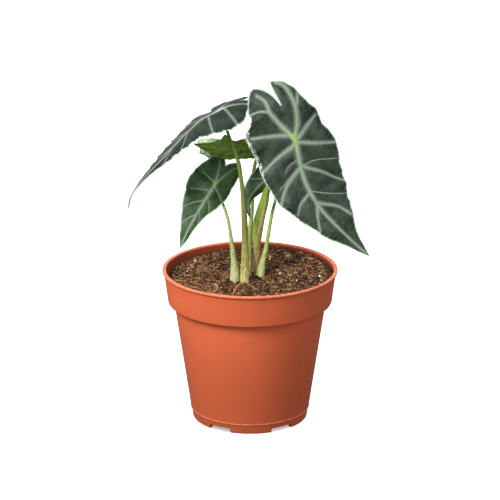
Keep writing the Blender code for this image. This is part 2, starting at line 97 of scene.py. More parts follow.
# Stem paths from the middle of the soil surface: x, y, z, radius.
STEMS = {
    "left": [(-3.7, -10.5, 0, 3.1), (-3.4, -9.5, 22, 2.35), (-3.9, -9, 45.5, 1.95),
             (-5.3, -8.5, 66, 1.5), (-8.6, -8, 86, 1.2), (-12.5, -7.5, 97, 1.05)],
    "low": [(-10.2, -8.5, 0, 3.3), (-10.4, -8.1, 7, 2.9), (-11, -7.5, 13.5, 2.15),
            (-13, -4, 29, 1.3), (-15, 1.5, 39.5, 1.1), (-18.9, 10, 49, 1.0)],
    "right": [(2.7, 7, 0, 2.9), (4.4, 5.5, 17, 2.6), (7.6, 2, 39, 2.4), (10.4, -1, 52, 2.1),
              (12.4, -4, 64, 1.9), (18.1, -11, 81, 1.6)],
    "small": [(6.8, -1.5, 0, 3.2), (7.5, -1.3, 5, 2.9), (8.7, -0.9, 11, 2.0),
              (10.8, 0, 19, 1.6), (12.7, 1, 30.5, 1.35), (14.7, 2.5, 42, 1.2),
              (17.5, 8.5, 52, 1.1), (20.5, 16.5, 63, 1.0)],
    "olive": [(-1, -0.5, 0, 2.4), (-0.3, 5, 26, 1.9), (1.4, 10.5, 43.5, 1.3),
              (2, 15, 66.5, 1.2)],
    "back": [(-3.8, 6, 0, 2.4), (-4.1, 11, 29, 1.5), (-4.7, 18, 49, 1.2), (-6, 26, 62, 1.1),
             (-8.3, 33.5, 72, 1.1), (-14.5, 35.5, 76.5, 1.1)],
}
STEM_DEPTH = 6.0

# Each blade lies along a spine that starts between its lobes, passes over the stem joint and
# ends at the tip. The edges are (distance along the spine from the joint, half width). A fold is
# (share of the way to the tip, degrees that the blade's halves drop from the spine); right_fold
# and right_sinus replace the fold and the curve between the lobes on the right half alone. A curl
# is (side, (start, end) along the spine, width, drop) of a margin that rolls under.
LEAVES = {
    "right": {
        "spine": [(9.3, -14, 136.8), (20.6, -20, 126), (29.4, -25, 104.7), (35.7, -33, 79.3),
                  (46.6, -40, 60.9), (65.4, -48, 42.9), (79.4, -52.6, 31.2)],
        "joint": 2, "notch": -24.0, "facing": ((0.02, -0.94, 0.34), (-0.05, -0.92, 0.40)),
        "fold": [(0, 9), (1, 4)], "ripple": 1.6, "waves": 4.5,
        "right_sinus": 4.5,
        "left_edge": [(-41, 5.5), (-38, 9), (-34, 12), (-25.5, 15), (-17.5, 18), (-11.5, 21),
                      (-3, 22), (2, 25), (7.5, 27.5), (15.5, 27.5), (29.5, 26.5), (45.5, 24.5),
                      (58.5, 19), (69, 14), (74.5, 9.5), (81.5, 6)],
        "right_edge": [(-45, 6), (-44.5, 9.5), (-42, 13), (-39, 17), (-36, 20.5), (-28.5, 23),
                       (-21.5, 24.5), (-16.5, 28), (-12, 30.5), (-2.5, 30.5), (8, 28.5),
                       (15, 27.5), (23, 25.5), (30, 23.5), (37, 21.5), (46.5, 17), (57, 13),
                       (69, 10), (81, 5)],
        "curls": [(-1, (-20, 24), 4.5, 2.6)],
    },
    "left": {
        "spine": [(3, 14, 122), (-12, 4.5, 120.8), (-20.7, -2, 117.6), (-31.4, -6.5, 112.9),
                  (-41.6, -9.5, 104.8), (-58.4, -13, 87), (-73.2, -14.5, 71.4), (-80, -15, 61),
                  (-82.2, -15, 52)],
        "joint": 2, "notch": -19.0, "facing": ((0, 0.09, 1), (0, -0.17, 0.98)),
        "fold": [(0, 17), (1, -3)], "ripple": 0.8, "waves": 3.5,
        "right_fold": [(-0.27, 0), (-0.1, 11), (0, 17), (0.08, 14), (0.18, 10), (0.32, 9), (1, -3)],
        "left_edge": [(-24, 3), (-22, 6.5), (-16.5, 12.5), (-9, 18.5), (-2, 22.5), (4, 27),
                      (9, 27), (15, 22), (22, 17.5), (31, 14.5), (43, 10.5), (60, 5.5),
                      (77, 2)],
        "right_edge": [(-28, 4), (-26, 7), (-17, 9.5), (-8, 13), (0, 18.5), (7, 21.5), (18, 20.5),
                       (31, 17), (43, 14), (58, 9), (75, 2.5)],
    },
    "low": {
        "spine": [(-12, 22, 80), (-23.8, 9.5, 62.5), (-29.2, 4, 55), (-35.3, -3, 46.6),
                  (-42, -9, 35.7), (-47.7, -13, 23.1)],
        "joint": 1, "notch": -15.0, "facing": ((0.12, -0.90, 0.38), (0.0, -0.93, 0.34)),
        "fold": [(0, 14), (1, 10)], "ripple": 0.7, "waves": 2.5,
        "left_edge": [(-22, 7), (-19, 10.5), (-10, 12.5), (-2, 12.5), (6, 12.5), (14, 10),
                      (24, 6.3), (34, 4.2), (44, 2.4)],
        "right_edge": [(-22, 7), (-19, 11), (-11, 14), (-2, 17.5), (8, 17.3), (19, 13.8),
                       (29, 9.8), (40, 4.8)],
    },
    "small": {
        "spine": [(26, 15, 80.5), (20.5, 11, 75.2), (13.6, 7, 69.1), (6.6, 4, 63),
                  (1, 1, 57.3), (-1.2, -0.5, 51.8), (-0.8, -1.5, 46), (0.3, -1.5, 40.7)],
        "joint": 1, "notch": -4.5, "facing": ((0.25, -0.90, 0.35), (0.45, -0.85, 0.2)),
        "fold": [(0, 28), (1, 38)], "ripple": 0.5, "waves": 2.0,
        "left_edge": [(-8, 3), (-6, 5), (0, 7), (8, 7.7), (17, 7.2), (27, 5.2), (34, 2.8)],
        "right_edge": [(-8, 3), (-6, 6), (0, 9), (8, 11), (17, 10.5), (26, 8), (34, 4)],
    },
    "olive": {
        "spine": [(16.3, 20.5, 83.5), (4.1, 17, 84.6), (-6.8, 13, 85.9), (-15, 9.5, 87),
                  (-24.4, 7.5, 88.3), (-31.8, 5.5, 90.2), (-38.2, 4, 92.5)],
        "joint": 1, "notch": -6.0, "facing": ((0.12, 0.80, 0.58), (0.2, 0.80, 0.56)),
        "fold": [(0, -8), (1, -14)], "right_fold": [(0, 2), (0.35, 5), (1, -2)],
        "ripple": 0.7, "waves": 2.0,
        "left_edge": [(-11, 4), (-9, 8), (-3, 11), (6, 11.5), (12, 11.2), (17, 9.7), (20.5, 9.2),
                      (23, 13), (26, 12.3), (28, 8), (34, 5)],
        "right_edge": [(-12, 5), (-10, 9.5), (-3, 11.2), (4, 10.8), (11, 10.4), (16.5, 12.4),
                       (22, 11.3), (27, 9.7), (31, 7), (35, 4.4)],
    },
    "back": {
        "spine": [(-37, 25.5, 83.7), (-23, 29, 82.5), (-8, 38, 79), (5, 47, 75), (16, 56, 69)],
        "joint": 1, "notch": -11.5, "facing": ((-0.3, -0.62, 0.72), (0.1, -0.5, 0.85)),
        "fold": [(0, 12), (1, 8)], "ripple": 0.6, "waves": 2.0,
        "left_edge": [(-12.5, 5), (-11, 7.5), (-3, 9.8), (6, 9.8), (18, 9), (30, 6), (40, 3)],
        "right_edge": [(-12.5, 4.5), (-9, 6), (-6, 8.2), (-2, 6.8), (6, 6.2), (18, 5.5), (30, 4.5),
                       (40, 2.5)],
    },
}
SINUS_CURVE = 1.6
SPINE_RUN_OUT = 10.0
MAIN_RIBS = 3
USUAL_LENGTH = 90.0

def paired(start_width, end_width, points):
    """The same vein on both halves of a blade."""
    return [(start_width, end_width, [(along, side * across) for along, across in points])
            for side in (1, -1)]


# Veins on the flat blade: half width at the start and end, then (along, across) points. The
# midrib and the ribs of the two lobes come first.
VEINS = {
    "right": [
        (1.5, 0.5, [(-2, 0), (20, 0), (50, 0), (75, 0), (93, 0)]),
        (1.7, 0.9, [(0, 0), (-12, -6), (-24, -9), (-34, -6.5), (-40, -7.5)]),
        (1.5, 1.1, [(0, 0), (-9.5, 5), (-19, 8), (-26, 9), (-32, 10), (-37, 8)]),
        (1.0, 0.5, [(-18, 7.5), (-21, 10.5), (-25, 14)]),
        (1.2, 0.6, [(0, 3), (-5, 10), (-10, 19)]),
        (1.2, 0.5, [(3, 1), (6, 13), (8, 26)]),
        (0.25, 0.15, [(19, 1), (17, 11), (19, 26)]),
        (1.2, 0.5, [(19, 1), (27.5, 13.6), (42.5, 24)]),
        (0.3, 0.15, [(37, 1), (53, 19.5), (56, 21)]),
        (1.1, 0.4, [(46, 0.5), (56.5, 9.6), (70, 13)]),
        (1.0, 0.5, [(-23, -9), (-31, -14), (-35, -20)]),
        (1.3, 0.8, [(-3, -2), (-6.4, -15), (-9, -27)]),
        (1.3, 0.5, [(4, -1), (10, -12.7), (18, -25)]),
        (1.1, 0.5, [(20, -0.5), (28, -12), (37, -21.5)]),
        (0.7, 0.3, [(38, -1), (41.4, -9.6), (46, -15)]),
        (0.9, 0.4, [(47.5, -0.5), (56, -6.7), (62, -10.5)]),
        (0.2, 0.1, [(24, -7), (29, -18)]), (0.2, 0.1, [(14, 0), (17, -7), (21, -11)]),
    ],
    "left": [
        (1.3, 0.4, [(-1, 0), (25, 0), (50, 0), (75, 0), (94, 0)]),
        (1.0, 0.5, [(0, 0), (-10, 3), (-19.5, 6.3)]), (0.7, 0.3, [(-17, 5.5), (-22, 9)]),
        (1.0, 0.5, [(0, 0), (-8, -4), (-16, -4.5)]),
        (0.6, 0.3, [(-3, 1.5), (-1.5, 10), (0.6, 24)]),
        (0.6, 0.3, [(9, 1), (12, 11), (15, 22)]),
        (0.4, 0.2, [(26, 0.5), (33, 7), (38, 11)]), (0.4, 0.2, [(41, 0.5), (50, 5), (56, 6.5)]),
        (0.8, 0.4, [(-1, -1), (2, -10), (5, -20)]), (0.8, 0.4, [(12, -0.5), (19, -9), (25, -18)]),
        (0.7, 0.3, [(26, -0.5), (35, -8), (41, -13.5)]),
        (0.6, 0.3, [(41, -0.5), (50, -5), (57, -8.5)]),
    ],
    "low": [
        (1.1, 0.5, [(-1, 0), (15, 0), (35, 0), (51, 0)]),
        (0.9, 0.35, [(0, 0), (-7, -1.8), (-14, -4), (-19, -7)]),
        (0.9, 0.35, [(0, 0), (-7, 2.3), (-13.5, 4.8), (-19, 8)]),
        (0.6, 0.25, [(-1, -0.5), (-2, -6), (-4, -12)]),
        (0.5, 0.2, [(6.5, -0.5), (8, -6), (11, -12.5)]),
        (0.4, 0.2, [(14, -0.5), (19, -6), (24, -10)]), (0.4, 0.2, [(26, -0.5), (31, -4), (35, -6)]),
        (0.6, 0.3, [(2, 0.5), (4, 5), (7, 10)]), (0.4, 0.2, [(11, 0.5), (15, 4), (20, 7)]),
        (0.3, 0.15, [(22, 0.5), (27, 3), (32, 4.2)]),
    ],
    "small": [
        (0.8, 0.4, [(-1, 0), (15, 0), (30, 0), (42, 0)]),
        (0.5, 0.3, [(0, 0), (-4, 2), (-6, 3.5)]), (0.5, 0.3, [(0, 0), (-4, -2), (-6, -4)]),
        (0.3, 0.15, [(4, -0.5), (8, -5), (10, -9)]), (0.3, 0.15, [(13, -0.5), (18, -5), (21, -8)]),
        (0.3, 0.15, [(4, 0.5), (7, 3), (10, 6)]), (0.3, 0.15, [(14, 0.5), (19, 3), (23, 5)]),
    ],
    "olive": [
        (0.7, 0.3, [(-1, 0), (15, 0), (30, 0), (42, 0)]),
        *paired(0.45, 0.2, [(0, 0), (-5, 3), (-9, 5)]),
        *paired(0.4, 0.2, [(2, 0.5), (5, 5), (9, 10)]),
        *paired(0.35, 0.15, [(12, 0.5), (17, 5), (22, 9)]),
        (0.3, 0.15, [(23, 0.5), (28, 4), (32, 5.5)]), (0.3, 0.15, [(23, -0.5), (28, -4), (32, -5)]),
    ],
    "back": [
        (0.9, 0.4, [(-1, 0), (15, 0), (35, 0), (46, 0)]),
        *paired(0.7, 0.3, [(0, 0), (-5, 2.5), (-10, 5)]),
        *paired(0.6, 0.25, [(2, 0.5), (4, 4), (8, 9)]),
        *paired(0.5, 0.2, [(12, 0.5), (17, 5), (22, 8)]),
        *paired(0.4, 0.2, [(24, 0.5), (29, 4), (33, 5)]),
    ],
}

BARK_STRIPS = {
    "front": [(-3.6, -15), (-6.5, -18), (-9.5, -25), (-11.5, -35)],
    "left": [(-24, -13.5), (-22, -19), (-22.5, -26), (-25.5, -31)],
}


# ---------------------------------------------------------------- curves and meshes

def smooth_curve(points, count):
    """Evenly spaced points of a smooth curve through the given ones."""
    knots = np.array(points, dtype=float)
    padded = np.vstack([2 * knots[0] - knots[1], knots, 2 * knots[-1] - knots[-2]])
    before, start, end, after = (padded[shift:len(padded) - 3 + shift, None] for shift in range(4))
    step = np.linspace(0.0, 1.0, 24, endpoint=False)[None, :, None]
    fine = 0.5 * (2 * start + (end - before) * step
                  + (2 * before - 5 * start + 4 * end - after) * step ** 2
                  + (3 * start - before - 3 * end + after) * step ** 3)
    fine = np.vstack([fine.reshape(-1, knots.shape[1]), knots[-1]])
    along = path_lengths(fine)
    wanted = np.linspace(0.0, along[-1], count)
    return np.column_stack([np.interp(wanted, along, column) for column in fine.T])


def path_lengths(points):
    """Distance from the first point to each point of a path."""
    steps = np.linalg.norm(np.diff(points[:, :3], axis=0), axis=1)
    return np.concatenate([[0.0], np.cumsum(steps)])


def smooth_step(values, low, high):
    """0 below low, 1 above high and an easy slope between them."""
    share = np.clip((values - low) / (high - low), 0.0, 1.0)
    return share * share * (3.0 - 2.0 * share)


def unit(vectors):
    """Vectors scaled to length one."""
    return vectors / np.maximum(np.linalg.norm(vectors, axis=-1, keepdims=True), 1e-9)


def rough_field(points, scale, seed=0.0):
    """Smooth noise, about -1 to 1, at each point for bumps scale millimetres across."""
    shift = Vector((seed * 7.3, seed * 3.1, seed * 1.7))
    return np.array([noise.noise(Vector(point) / scale + shift) for point in points])


def grid_faces(rows, columns, start=0, around=False):
    """Quads of a grid of points; around joins the last column to the first."""
    row = np.arange(rows - 1)[:, None]
    column = np.arange(columns if around else columns - 1)[None, :]
    after = (column + 1) % columns
    low = row * columns + start
    faces = np.stack([low + column, low + after, low + columns + after, low + columns + column],
                     axis=-1)
    return faces.reshape(-1, 4)


def add_piece(name, points, faces, finishes, fields=None, kinds=None, sharp=None):
    """A smooth-shaded piece that rides on the plant's body.

    Points are millimetres. Fields are named values at each point, and kinds are each face's
    place in the list of finishes.
    """
    mesh = bpy.data.meshes.new(name)
    mesh.from_pydata(np.asarray(points) * MM, [], [tuple(face) for face in faces])
    for finish in finishes:
        mesh.materials.append(finish)
    if kinds is not None:
        mesh.polygons.foreach_set("material_index", np.asarray(kinds, dtype=np.int32))
    for label, values in (fields or {}).items():
        values = np.asarray(values, dtype=np.float32)
        if values.ndim == 1:
            mesh.attributes.new(label, "FLOAT", "POINT").data.foreach_set("value", values)
        else:
            layer = mesh.attributes.new(label, "FLOAT_VECTOR", "POINT")
            layer.data.foreach_set("vector", values.ravel())
    mesh.validate()
    mesh.shade_smooth()
    if sharp is not None:
        mesh.set_sharp_from_angle(angle=math.radians(sharp))
    piece = bpy.data.objects.new(name, mesh)
    bpy.context.collection.objects.link(piece)
    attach(piece, BODY)
    return piece


def tidy_mesh(piece, reach=0.002):
    """Weld what coincides, drop empty faces and turn every face outwards."""
    shape = bmesh.new()
    shape.from_mesh(piece.data)
    bmesh.ops.remove_doubles(shape, verts=shape.verts, dist=reach * MM)
    bmesh.ops.dissolve_degenerate(shape, edges=shape.edges, dist=reach * MM)
    bmesh.ops.recalc_face_normals(shape, faces=shape.faces)
    shape.to_mesh(piece.data)
    shape.free()


def tube_rings(path, radii, sides, shape=None):
    """Rings of points round a path; shape(angle, share) scales the radius."""
    path = np.asarray(path, dtype=float)
    ahead = unit(np.gradient(path, axis=0))
    sideways = np.array([1.0, 0.0, 0.0])
    angle = np.linspace(0.0, math.tau, sides, endpoint=False)
    rings = []
    for index, centre in enumerate(path):
        sideways = unit(sideways - ahead[index] * sideways.dot(ahead[index]))
        across = np.cross(ahead[index], sideways)
        swell = radii[index]
        if shape is not None:
            swell = swell * shape(angle, index / (len(path) - 1))
        swell = np.broadcast_to(swell, angle.shape)[:, None]
        rings.append(centre + swell * (np.cos(angle)[:, None] * sideways
                                       + np.sin(angle)[:, None] * across))
    return np.array(rings)


def closed_tube(rings):
    """Points and faces of a tube with both ends closed."""
    count, sides, _ = rings.shape
    points = np.vstack([rings.reshape(-1, 3), rings[0].mean(0), rings[-1].mean(0)])
    faces = [tuple(face) for face in grid_faces(count, sides, around=True)]
    last = (count - 1) * sides
    for side in range(sides):
        after = (side + 1) % sides
        faces.append((after, side, count * sides))
        faces.append((last + side, last + after, count * sides + 1))
    return points, faces


# ---------------------------------------------------------------- finishes

WITHERED = (0.42, 0.25, 0.13)
CHALK = (0.78, 0.80, 0.68)
SOIL_DUST = (0.06, 0.028, 0.014)


class Finish:
    """A Principled material and the nodes that feed it."""

    def __init__(self, name, roughness, specular=0.5):
        self.material = bpy.data.materials.new(name)
        self.material.use_nodes = True
        self.tree = self.material.node_tree
        self.shader = self.tree.nodes["Principled BSDF"]
        self.shader.inputs["Roughness"].default_value = roughness
        self.shader.inputs["Specular IOR Level"].default_value = specular

    def node(self, kind, inputs, **settings):
        """Add a node; inputs gives each socket a value or another node's output."""
        made = self.tree.nodes.new("ShaderNode" + kind)
        for key, value in settings.items():
            setattr(made, key, value)
        for key, value in inputs.items():
            if isinstance(value, bpy.types.NodeSocket):
                self.tree.links.new(value, made.inputs[key])
            else:
                made.inputs[key].default_value = value
        return made

    def field(self, name, output="Fac"):
        """A value stored at the mesh's points."""
        return self.node("Attribute", {}, attribute_name=name).outputs[output]

    def place(self):
        """Position on the object, in metres."""
        return self.node("TexCoord", {}).outputs["Object"]

    def stretched(self, vector, scale):
        """A vector scaled by axis."""
        mapping = self.node("Mapping", {"Vector": vector})
        mapping.inputs["Scale"].default_value = scale
        return mapping.outputs["Vector"]

    def grain(self, vector, scale, detail=3.0, rough=0.55, warp=0.0):
        """Noise from 0 to 1."""
        made = self.node("TexNoise", {"Vector": vector, "Scale": scale, "Detail": detail,
                                      "Roughness": rough, "Distortion": warp})
        return made.outputs["Fac"]

    def maths(self, operation, first, second=0.0, third=0.0):
        """One arithmetic step."""
        made = self.node("Math", {0: first, 1: second, 2: third}, operation=operation)
        return made.outputs[0]

    def times(self, first, second):
        """A product."""
        return self.maths("MULTIPLY", first, second)

    def ramp(self, value, low, high, start=0.0, end=1.0):
        """Ease from start at low to end at high."""
        made = self.node("MapRange", {0: value, 1: low, 2: high, 3: start, 4: end},
                         interpolation_type="SMOOTHSTEP")
        return made.outputs[0]

    def blend(self, share, first, second, mode="MIX"):
        """Mix two colours by a share."""
        made = self.tree.nodes.new("ShaderNodeMix")
        made.data_type = "RGBA"
        made.blend_type = mode
        for socket, value in ((0, share), (6, first), (7, second)):
            if isinstance(value, bpy.types.NodeSocket):
                self.tree.links.new(value, made.inputs[socket])
            elif socket:
                made.inputs[socket].default_value = (*value[:3], 1.0)
            else:
                made.inputs[socket].default_value = value
        return made.outputs[2]

    def set(self, socket, value):
        """Feed one of the shader's sockets."""
        self.tree.links.new(value, self.shader.inputs[socket])

    def rough(self, value, low, high, start, end):
        """Let the roughness follow a value."""
        self.set("Roughness", self.ramp(value, low, high, start, end))

    def relief(self, height, depth, under=None):
        """A bump of that depth in millimetres, over another one."""
        made = self.node("Bump", {"Height": height, "Distance": depth * MM, "Strength": 1.0})
        if under is not None:
            self.tree.links.new(under, made.inputs["Normal"])
        return made.outputs["Normal"]


def blade_finish(name, sizes, field, band, green, roughness):
    """The upper face of a leaf: a mottled blade crossed by soft-edged veins."""
    finish = Finish(name, roughness, 0.15)
    flat = finish.field("flat", "Vector")
    speck = finish.grain(flat, 1.7, 3.0, 0.7)

    # Between the veins: clouded green whose paler grey patches are painted sheen, paler specks and
    # flecks, and a faint net of small veins.
    cloud = finish.grain(flat, 0.085, 4.0, 0.62)
    cells = finish.node("TexVoronoi", {"Vector": flat, "Scale": 0.42, "Randomness": 1.0},
                        feature="DISTANCE_TO_EDGE").outputs["Distance"]
    net = finish.ramp(cells, 0.0, 0.10, 1.0, 0.0)
    # Painted sheen: the lighter, greyer cloud patches stand in for light glancing off the blade.
    dark = finish.blend(finish.ramp(cloud, 0.38, 0.60), finish_tint(field, 0.6, 0.0),
                        finish_tint(field, 2.1, 0.35))
    dark = finish.blend(finish.ramp(speck, 0.56, 0.78, 0.0, 0.35), dark,
                        finish_tint(field, 2.3, 0.25))
    dark = finish.blend(finish.times(net, 0.06), dark, band)
    flecks = finish.grain(flat, 2.4, 2.0, 0.6)
    dark = finish.blend(finish.ramp(flecks, 0.66, 0.75, 0.0, 0.55), dark, band)

    # The veins: silver with feathered edges, and a green line along the main ribs.
    barbs = finish.grain(flat, 0.95, 4.0, 0.75, 0.6)
    feather = sizes.vein_feather
    soft = finish.maths("MULTIPLY_ADD", barbs, 3.8 * feather, -1.9 * feather)
    edge = finish.maths("ADD", finish.field("vein_fade"), soft)
    haze = finish.ramp(edge, -0.7, 1.2, 1.0, 0.0)
    silver = finish.blend(finish.ramp(barbs, 0.36, 0.66), finish_tint(band, 0.70, 0.2),
                          finish_tint(band, 1.15, 0.1))
    colour = finish.blend(finish.times(haze, 0.84), dark, silver)
    joint = finish.field("joint")
    near = finish.ramp(joint, 2.0, 34.0, 0.90, 0.40)
    line = finish.ramp(finish.field("vein_core"), 0.1, 0.8, 1.0, 0.0)
    colour = finish.blend(finish.times(near, line), colour, green)
    around = finish.maths("ADD", joint, finish.times(finish.field("vein_gap"), 2.0))
    hub = finish.ramp(around, 0.5, 5.0, 0.9, 0.0)
    colour = finish.blend(hub, colour, finish_tint(green, 1.1, 0.05))

    # The margin: a silver rim, pale streaks where it rolls under, and a withered tip.
    worn = finish.maths("MULTIPLY_ADD", speck, 0.9, -0.45)
    rim = finish.ramp(finish.maths("ADD", finish.field("margin"), worn), 0.30, 1.20, 1.0, 0.0)
    colour = finish.blend(finish.times(rim, 0.9), colour, finish_tint(band, 1.35, 0.1))
    streak = finish.grain(finish.stretched(flat, (0.5, 1.6, 1.0)), 0.7, 3.0, 0.7)
    pale = finish.times(finish.field("pale"), finish.ramp(streak, 0.45, 0.56))
    colour = finish.blend(pale, colour, finish_tint(band, 2.0, 0.3))
    colour = finish.blend(finish.field("dry"), colour, WITHERED)
    finish.set("Base Color", colour)
    finish.rough(speck, 0.25, 0.75, roughness - 0.10, roughness + 0.12)
    pores = finish.relief(speck, 0.10)
    finish.set("Normal", finish.relief(net, -0.07, pores))
    return finish.material


def finish_tint(colour, gain, grey):
    """A colour made lighter or darker, and pulled towards grey."""
    level = sum(colour[:3]) / 3
    return tuple(min((part * (1 - grey) + level * grey) * gain, 1.0) for part in colour[:3])


def under_finish(name, green, purple, rib):
    """The lower face of a leaf: olive green, mottled with purple brown between the ribs."""
    finish = Finish(name, 0.5, 0.4)
    flat = finish.field("flat", "Vector")
    gap = finish.field("vein_gap")
    margin = finish.field("margin")
    patch = finish.grain(flat, 0.16, 4.0, 0.65, 0.8)
    speck = finish.grain(flat, 1.3, 3.0, 0.75)
    both = finish.maths("MULTIPLY_ADD", speck, 0.45, finish.times(patch, 0.7))
    colour = finish.blend(finish.ramp(both, 0.53, 0.70), green, purple)
    colour = finish.blend(finish.ramp(speck, 0.6, 0.8, 0.0, 0.4), colour, rib)
    edge = finish.maths("MULTIPLY_ADD", speck, 1.4, finish.maths("ADD", gap, -0.7))
    colour = finish.blend(finish.ramp(edge, -0.3, 0.6, 0.35, 0.0), colour, rib)
    colour = finish.blend(finish.ramp(margin, 0.1, 0.8, 0.8, 0.0), colour, purple)
    finish.set("Base Color", colour)
    finish.rough(speck, 0.3, 0.7, 0.40, 0.62)
    finish.set("Normal", finish.relief(both, 0.18))
    return finish.material


def margin_finish(name, light, dark):
    """The thin rim between a leaf's two faces."""
    finish = Finish(name, 0.5, 0.4)
    flat = finish.field("flat", "Vector")
    share = finish.ramp(finish.grain(flat, 0.8, 3.0, 0.7), 0.35, 0.65)
    colour = finish.blend(share, dark, light)
    colour = finish.blend(finish.field("dry"), colour, (0.34, 0.19, 0.10))
    finish.set("Base Color", colour)
    finish.set("Normal", finish.relief(share, 0.05))
    return finish.material


def skin_finish(name, brown):
    """Stem skin: each point's own tint under long streaks and brown mottling."""
    finish = Finish(name, 0.45, 0.25)
    place = finish.place()
    long_way = finish.stretched(place, (1.0, 1.0, 0.16))
    streak = finish.grain(long_way, 900.0, 3.0, 0.6)
    spots = finish.grain(finish.stretched(place, (1.0, 1.0, 0.45)), 620.0, 4.0, 0.75, 0.7)
    tint = finish.field("tint", "Color")
    colour = finish.blend(finish.ramp(streak, 0.30, 0.70), tint, (0.55, 0.58, 0.50), "MULTIPLY")
    colour = finish.blend(finish.ramp(streak, 0.34, 0.66, 0.95, 0.1), tint, colour)
    spotted = finish.times(finish.ramp(spots, 0.47, 0.60), finish.field("mottle"))
    colour = finish.blend(spotted, colour, brown)
    chalk = finish.times(finish.ramp(spots, 0.44, 0.30), finish.field("chalk"))
    colour = finish.blend(chalk, colour, CHALK)
    finish.set("Base Color", colour)
    finish.rough(spots, 0.3, 0.7, 0.36, 0.58)
    ridge = finish.relief(streak, 0.12)
    finish.set("Normal", finish.relief(spots, 0.06, ridge))
    return finish.material


def fibre_finish(name, dark, light, scale, roughness=0.85):
    """Dry, fibrous stuff with long streaks: bark strips and withered sheaths."""
    finish = Finish(name, roughness, 0.25)
    place = finish.place()
    streak = finish.grain(finish.stretched(finish.field("flat", "Vector"), (0.15, 1.0, 1.0)),
                          2.6, 4.0, 0.7, 0.3)
    patch = finish.grain(place, scale, 3.0, 0.6)
    both = finish.maths("MULTIPLY_ADD", patch, 0.5, finish.times(streak, 0.5))
    colour = finish.blend(finish.ramp(both, 0.36, 0.62), dark, light)
    finish.set("Base Color", colour)
    finish.rough(patch, 0.3, 0.7, roughness - 0.1, roughness + 0.08)
    finish.set("Normal", finish.relief(streak, 0.25))
    return finish.material


def mix_finish(name, dark, light):
    """The bed of potting mix under the loose crumbs."""
    finish = Finish(name, 0.93, 0.15)
    place = finish.place()
    lumps = finish.grain(place, 260.0, 5.0, 0.7, 0.5)
    fine = finish.grain(place, 1100.0, 4.0, 0.75)
    both = finish.maths("MULTIPLY_ADD", fine, 0.6, finish.times(lumps, 0.4))
    colour = finish.blend(finish.ramp(both, 0.40, 0.64), dark, light)
    finish.set("Base Color", colour)
    finish.rough(fine, 0.3, 0.7, 0.85, 1.0)
    finish.set("Normal", finish.relief(both, 0.9))
    return finish.material


def crumb_finish(name, roughness=0.9):
    """Loose bits: each has its own tint, roughened by fine noise."""
    finish = Finish(name, roughness, 0.2)
    place = finish.place()
    fine = finish.grain(place, 1500.0, 4.0, 0.75)
    tint = finish.field("tint", "Color")
    shade = finish.blend(1.0, tint, (0.55, 0.5, 0.45), "MULTIPLY")
    finish.set("Base Color", finish.blend(finish.ramp(fine, 0.35, 0.6), shade, tint))
    finish.rough(fine, 0.3, 0.7, roughness - 0.08, roughness + 0.07)
    finish.set("Normal", finish.relief(fine, 0.35))
    return finish.material


def plastic_finish(name, clay, worn, inside):
    """Moulded terracotta plastic: fine grain, a paler lip and seam, an inner wall darkened as
    painted shade and painted shade towards the foot; the lip's pale band is a painted highlight.
    """
    finish = Finish(name, 0.52, 0.12)
    place = finish.place()
    cloud = finish.grain(place, 28.0, 3.0, 0.5)
    fine = finish.grain(place, 1600.0, 3.0, 0.65)
    speck = finish.grain(place, 420.0, 4.0, 0.7)
    colour = finish.blend(finish.ramp(cloud, 0.3, 0.7), finish_tint(clay, 0.94, 0.0),
                          finish_tint(clay, 1.04, 0.01))
    # Painted shade: the colour darkens towards the foot, standing in for the light that falls off
    # lower on the pot.
    level = finish.node("SeparateXYZ", {0: place}).outputs["Z"]
    colour = finish.blend(finish.ramp(level, 0.090, 0.010, 0.0, 0.85), colour,
                          finish_tint(clay, 0.72, 0.0))
    colour = finish.blend(finish.ramp(fine, 0.55, 0.8, 0.0, 0.22), colour, worn)
    # Painted highlight: the broken pale band on the lip stands in for light catching the lip's
    # edge; on the seam the same pale colour is real moulding flash.
    speckled_lip_highlight_and_seam = finish.times(finish.field("lip_highlight_and_seam"), finish.ramp(speck, 0.36, 0.60))
    colour = finish.blend(speckled_lip_highlight_and_seam, colour, worn)
    # Painted shade: the inner faces take a darker copy of the terracotta that stands in for the
    # shade inside the pot.
    colour = finish.blend(finish.field("inner_face"), colour, inside)
    dusty = finish.times(finish.field("dust"), finish.ramp(speck, 0.42, 0.58))
    colour = finish.blend(dusty, colour, SOIL_DUST)
    finish.set("Base Color", colour)
    finish.rough(fine, 0.3, 0.7, 0.42, 0.56)
    finish.set("Normal", finish.relief(fine, 0.035))
    return finish.material


def floor_finish(name, colour):
    """Pale seamless board with the faintest tooth."""
    finish = Finish(name, 0.9, 0.1)
    tooth = finish.grain(finish.place(), 90.0, 3.0, 0.6)
    finish.set("Base Color", finish.blend(finish.ramp(tooth, 0.3, 0.7), colour,
                                          finish_tint(colour, 1.02, 0.0)))
    finish.set("Normal", finish.relief(tooth, 0.02))
    return finish.material


# ---------------------------------------------------------------- the leaves

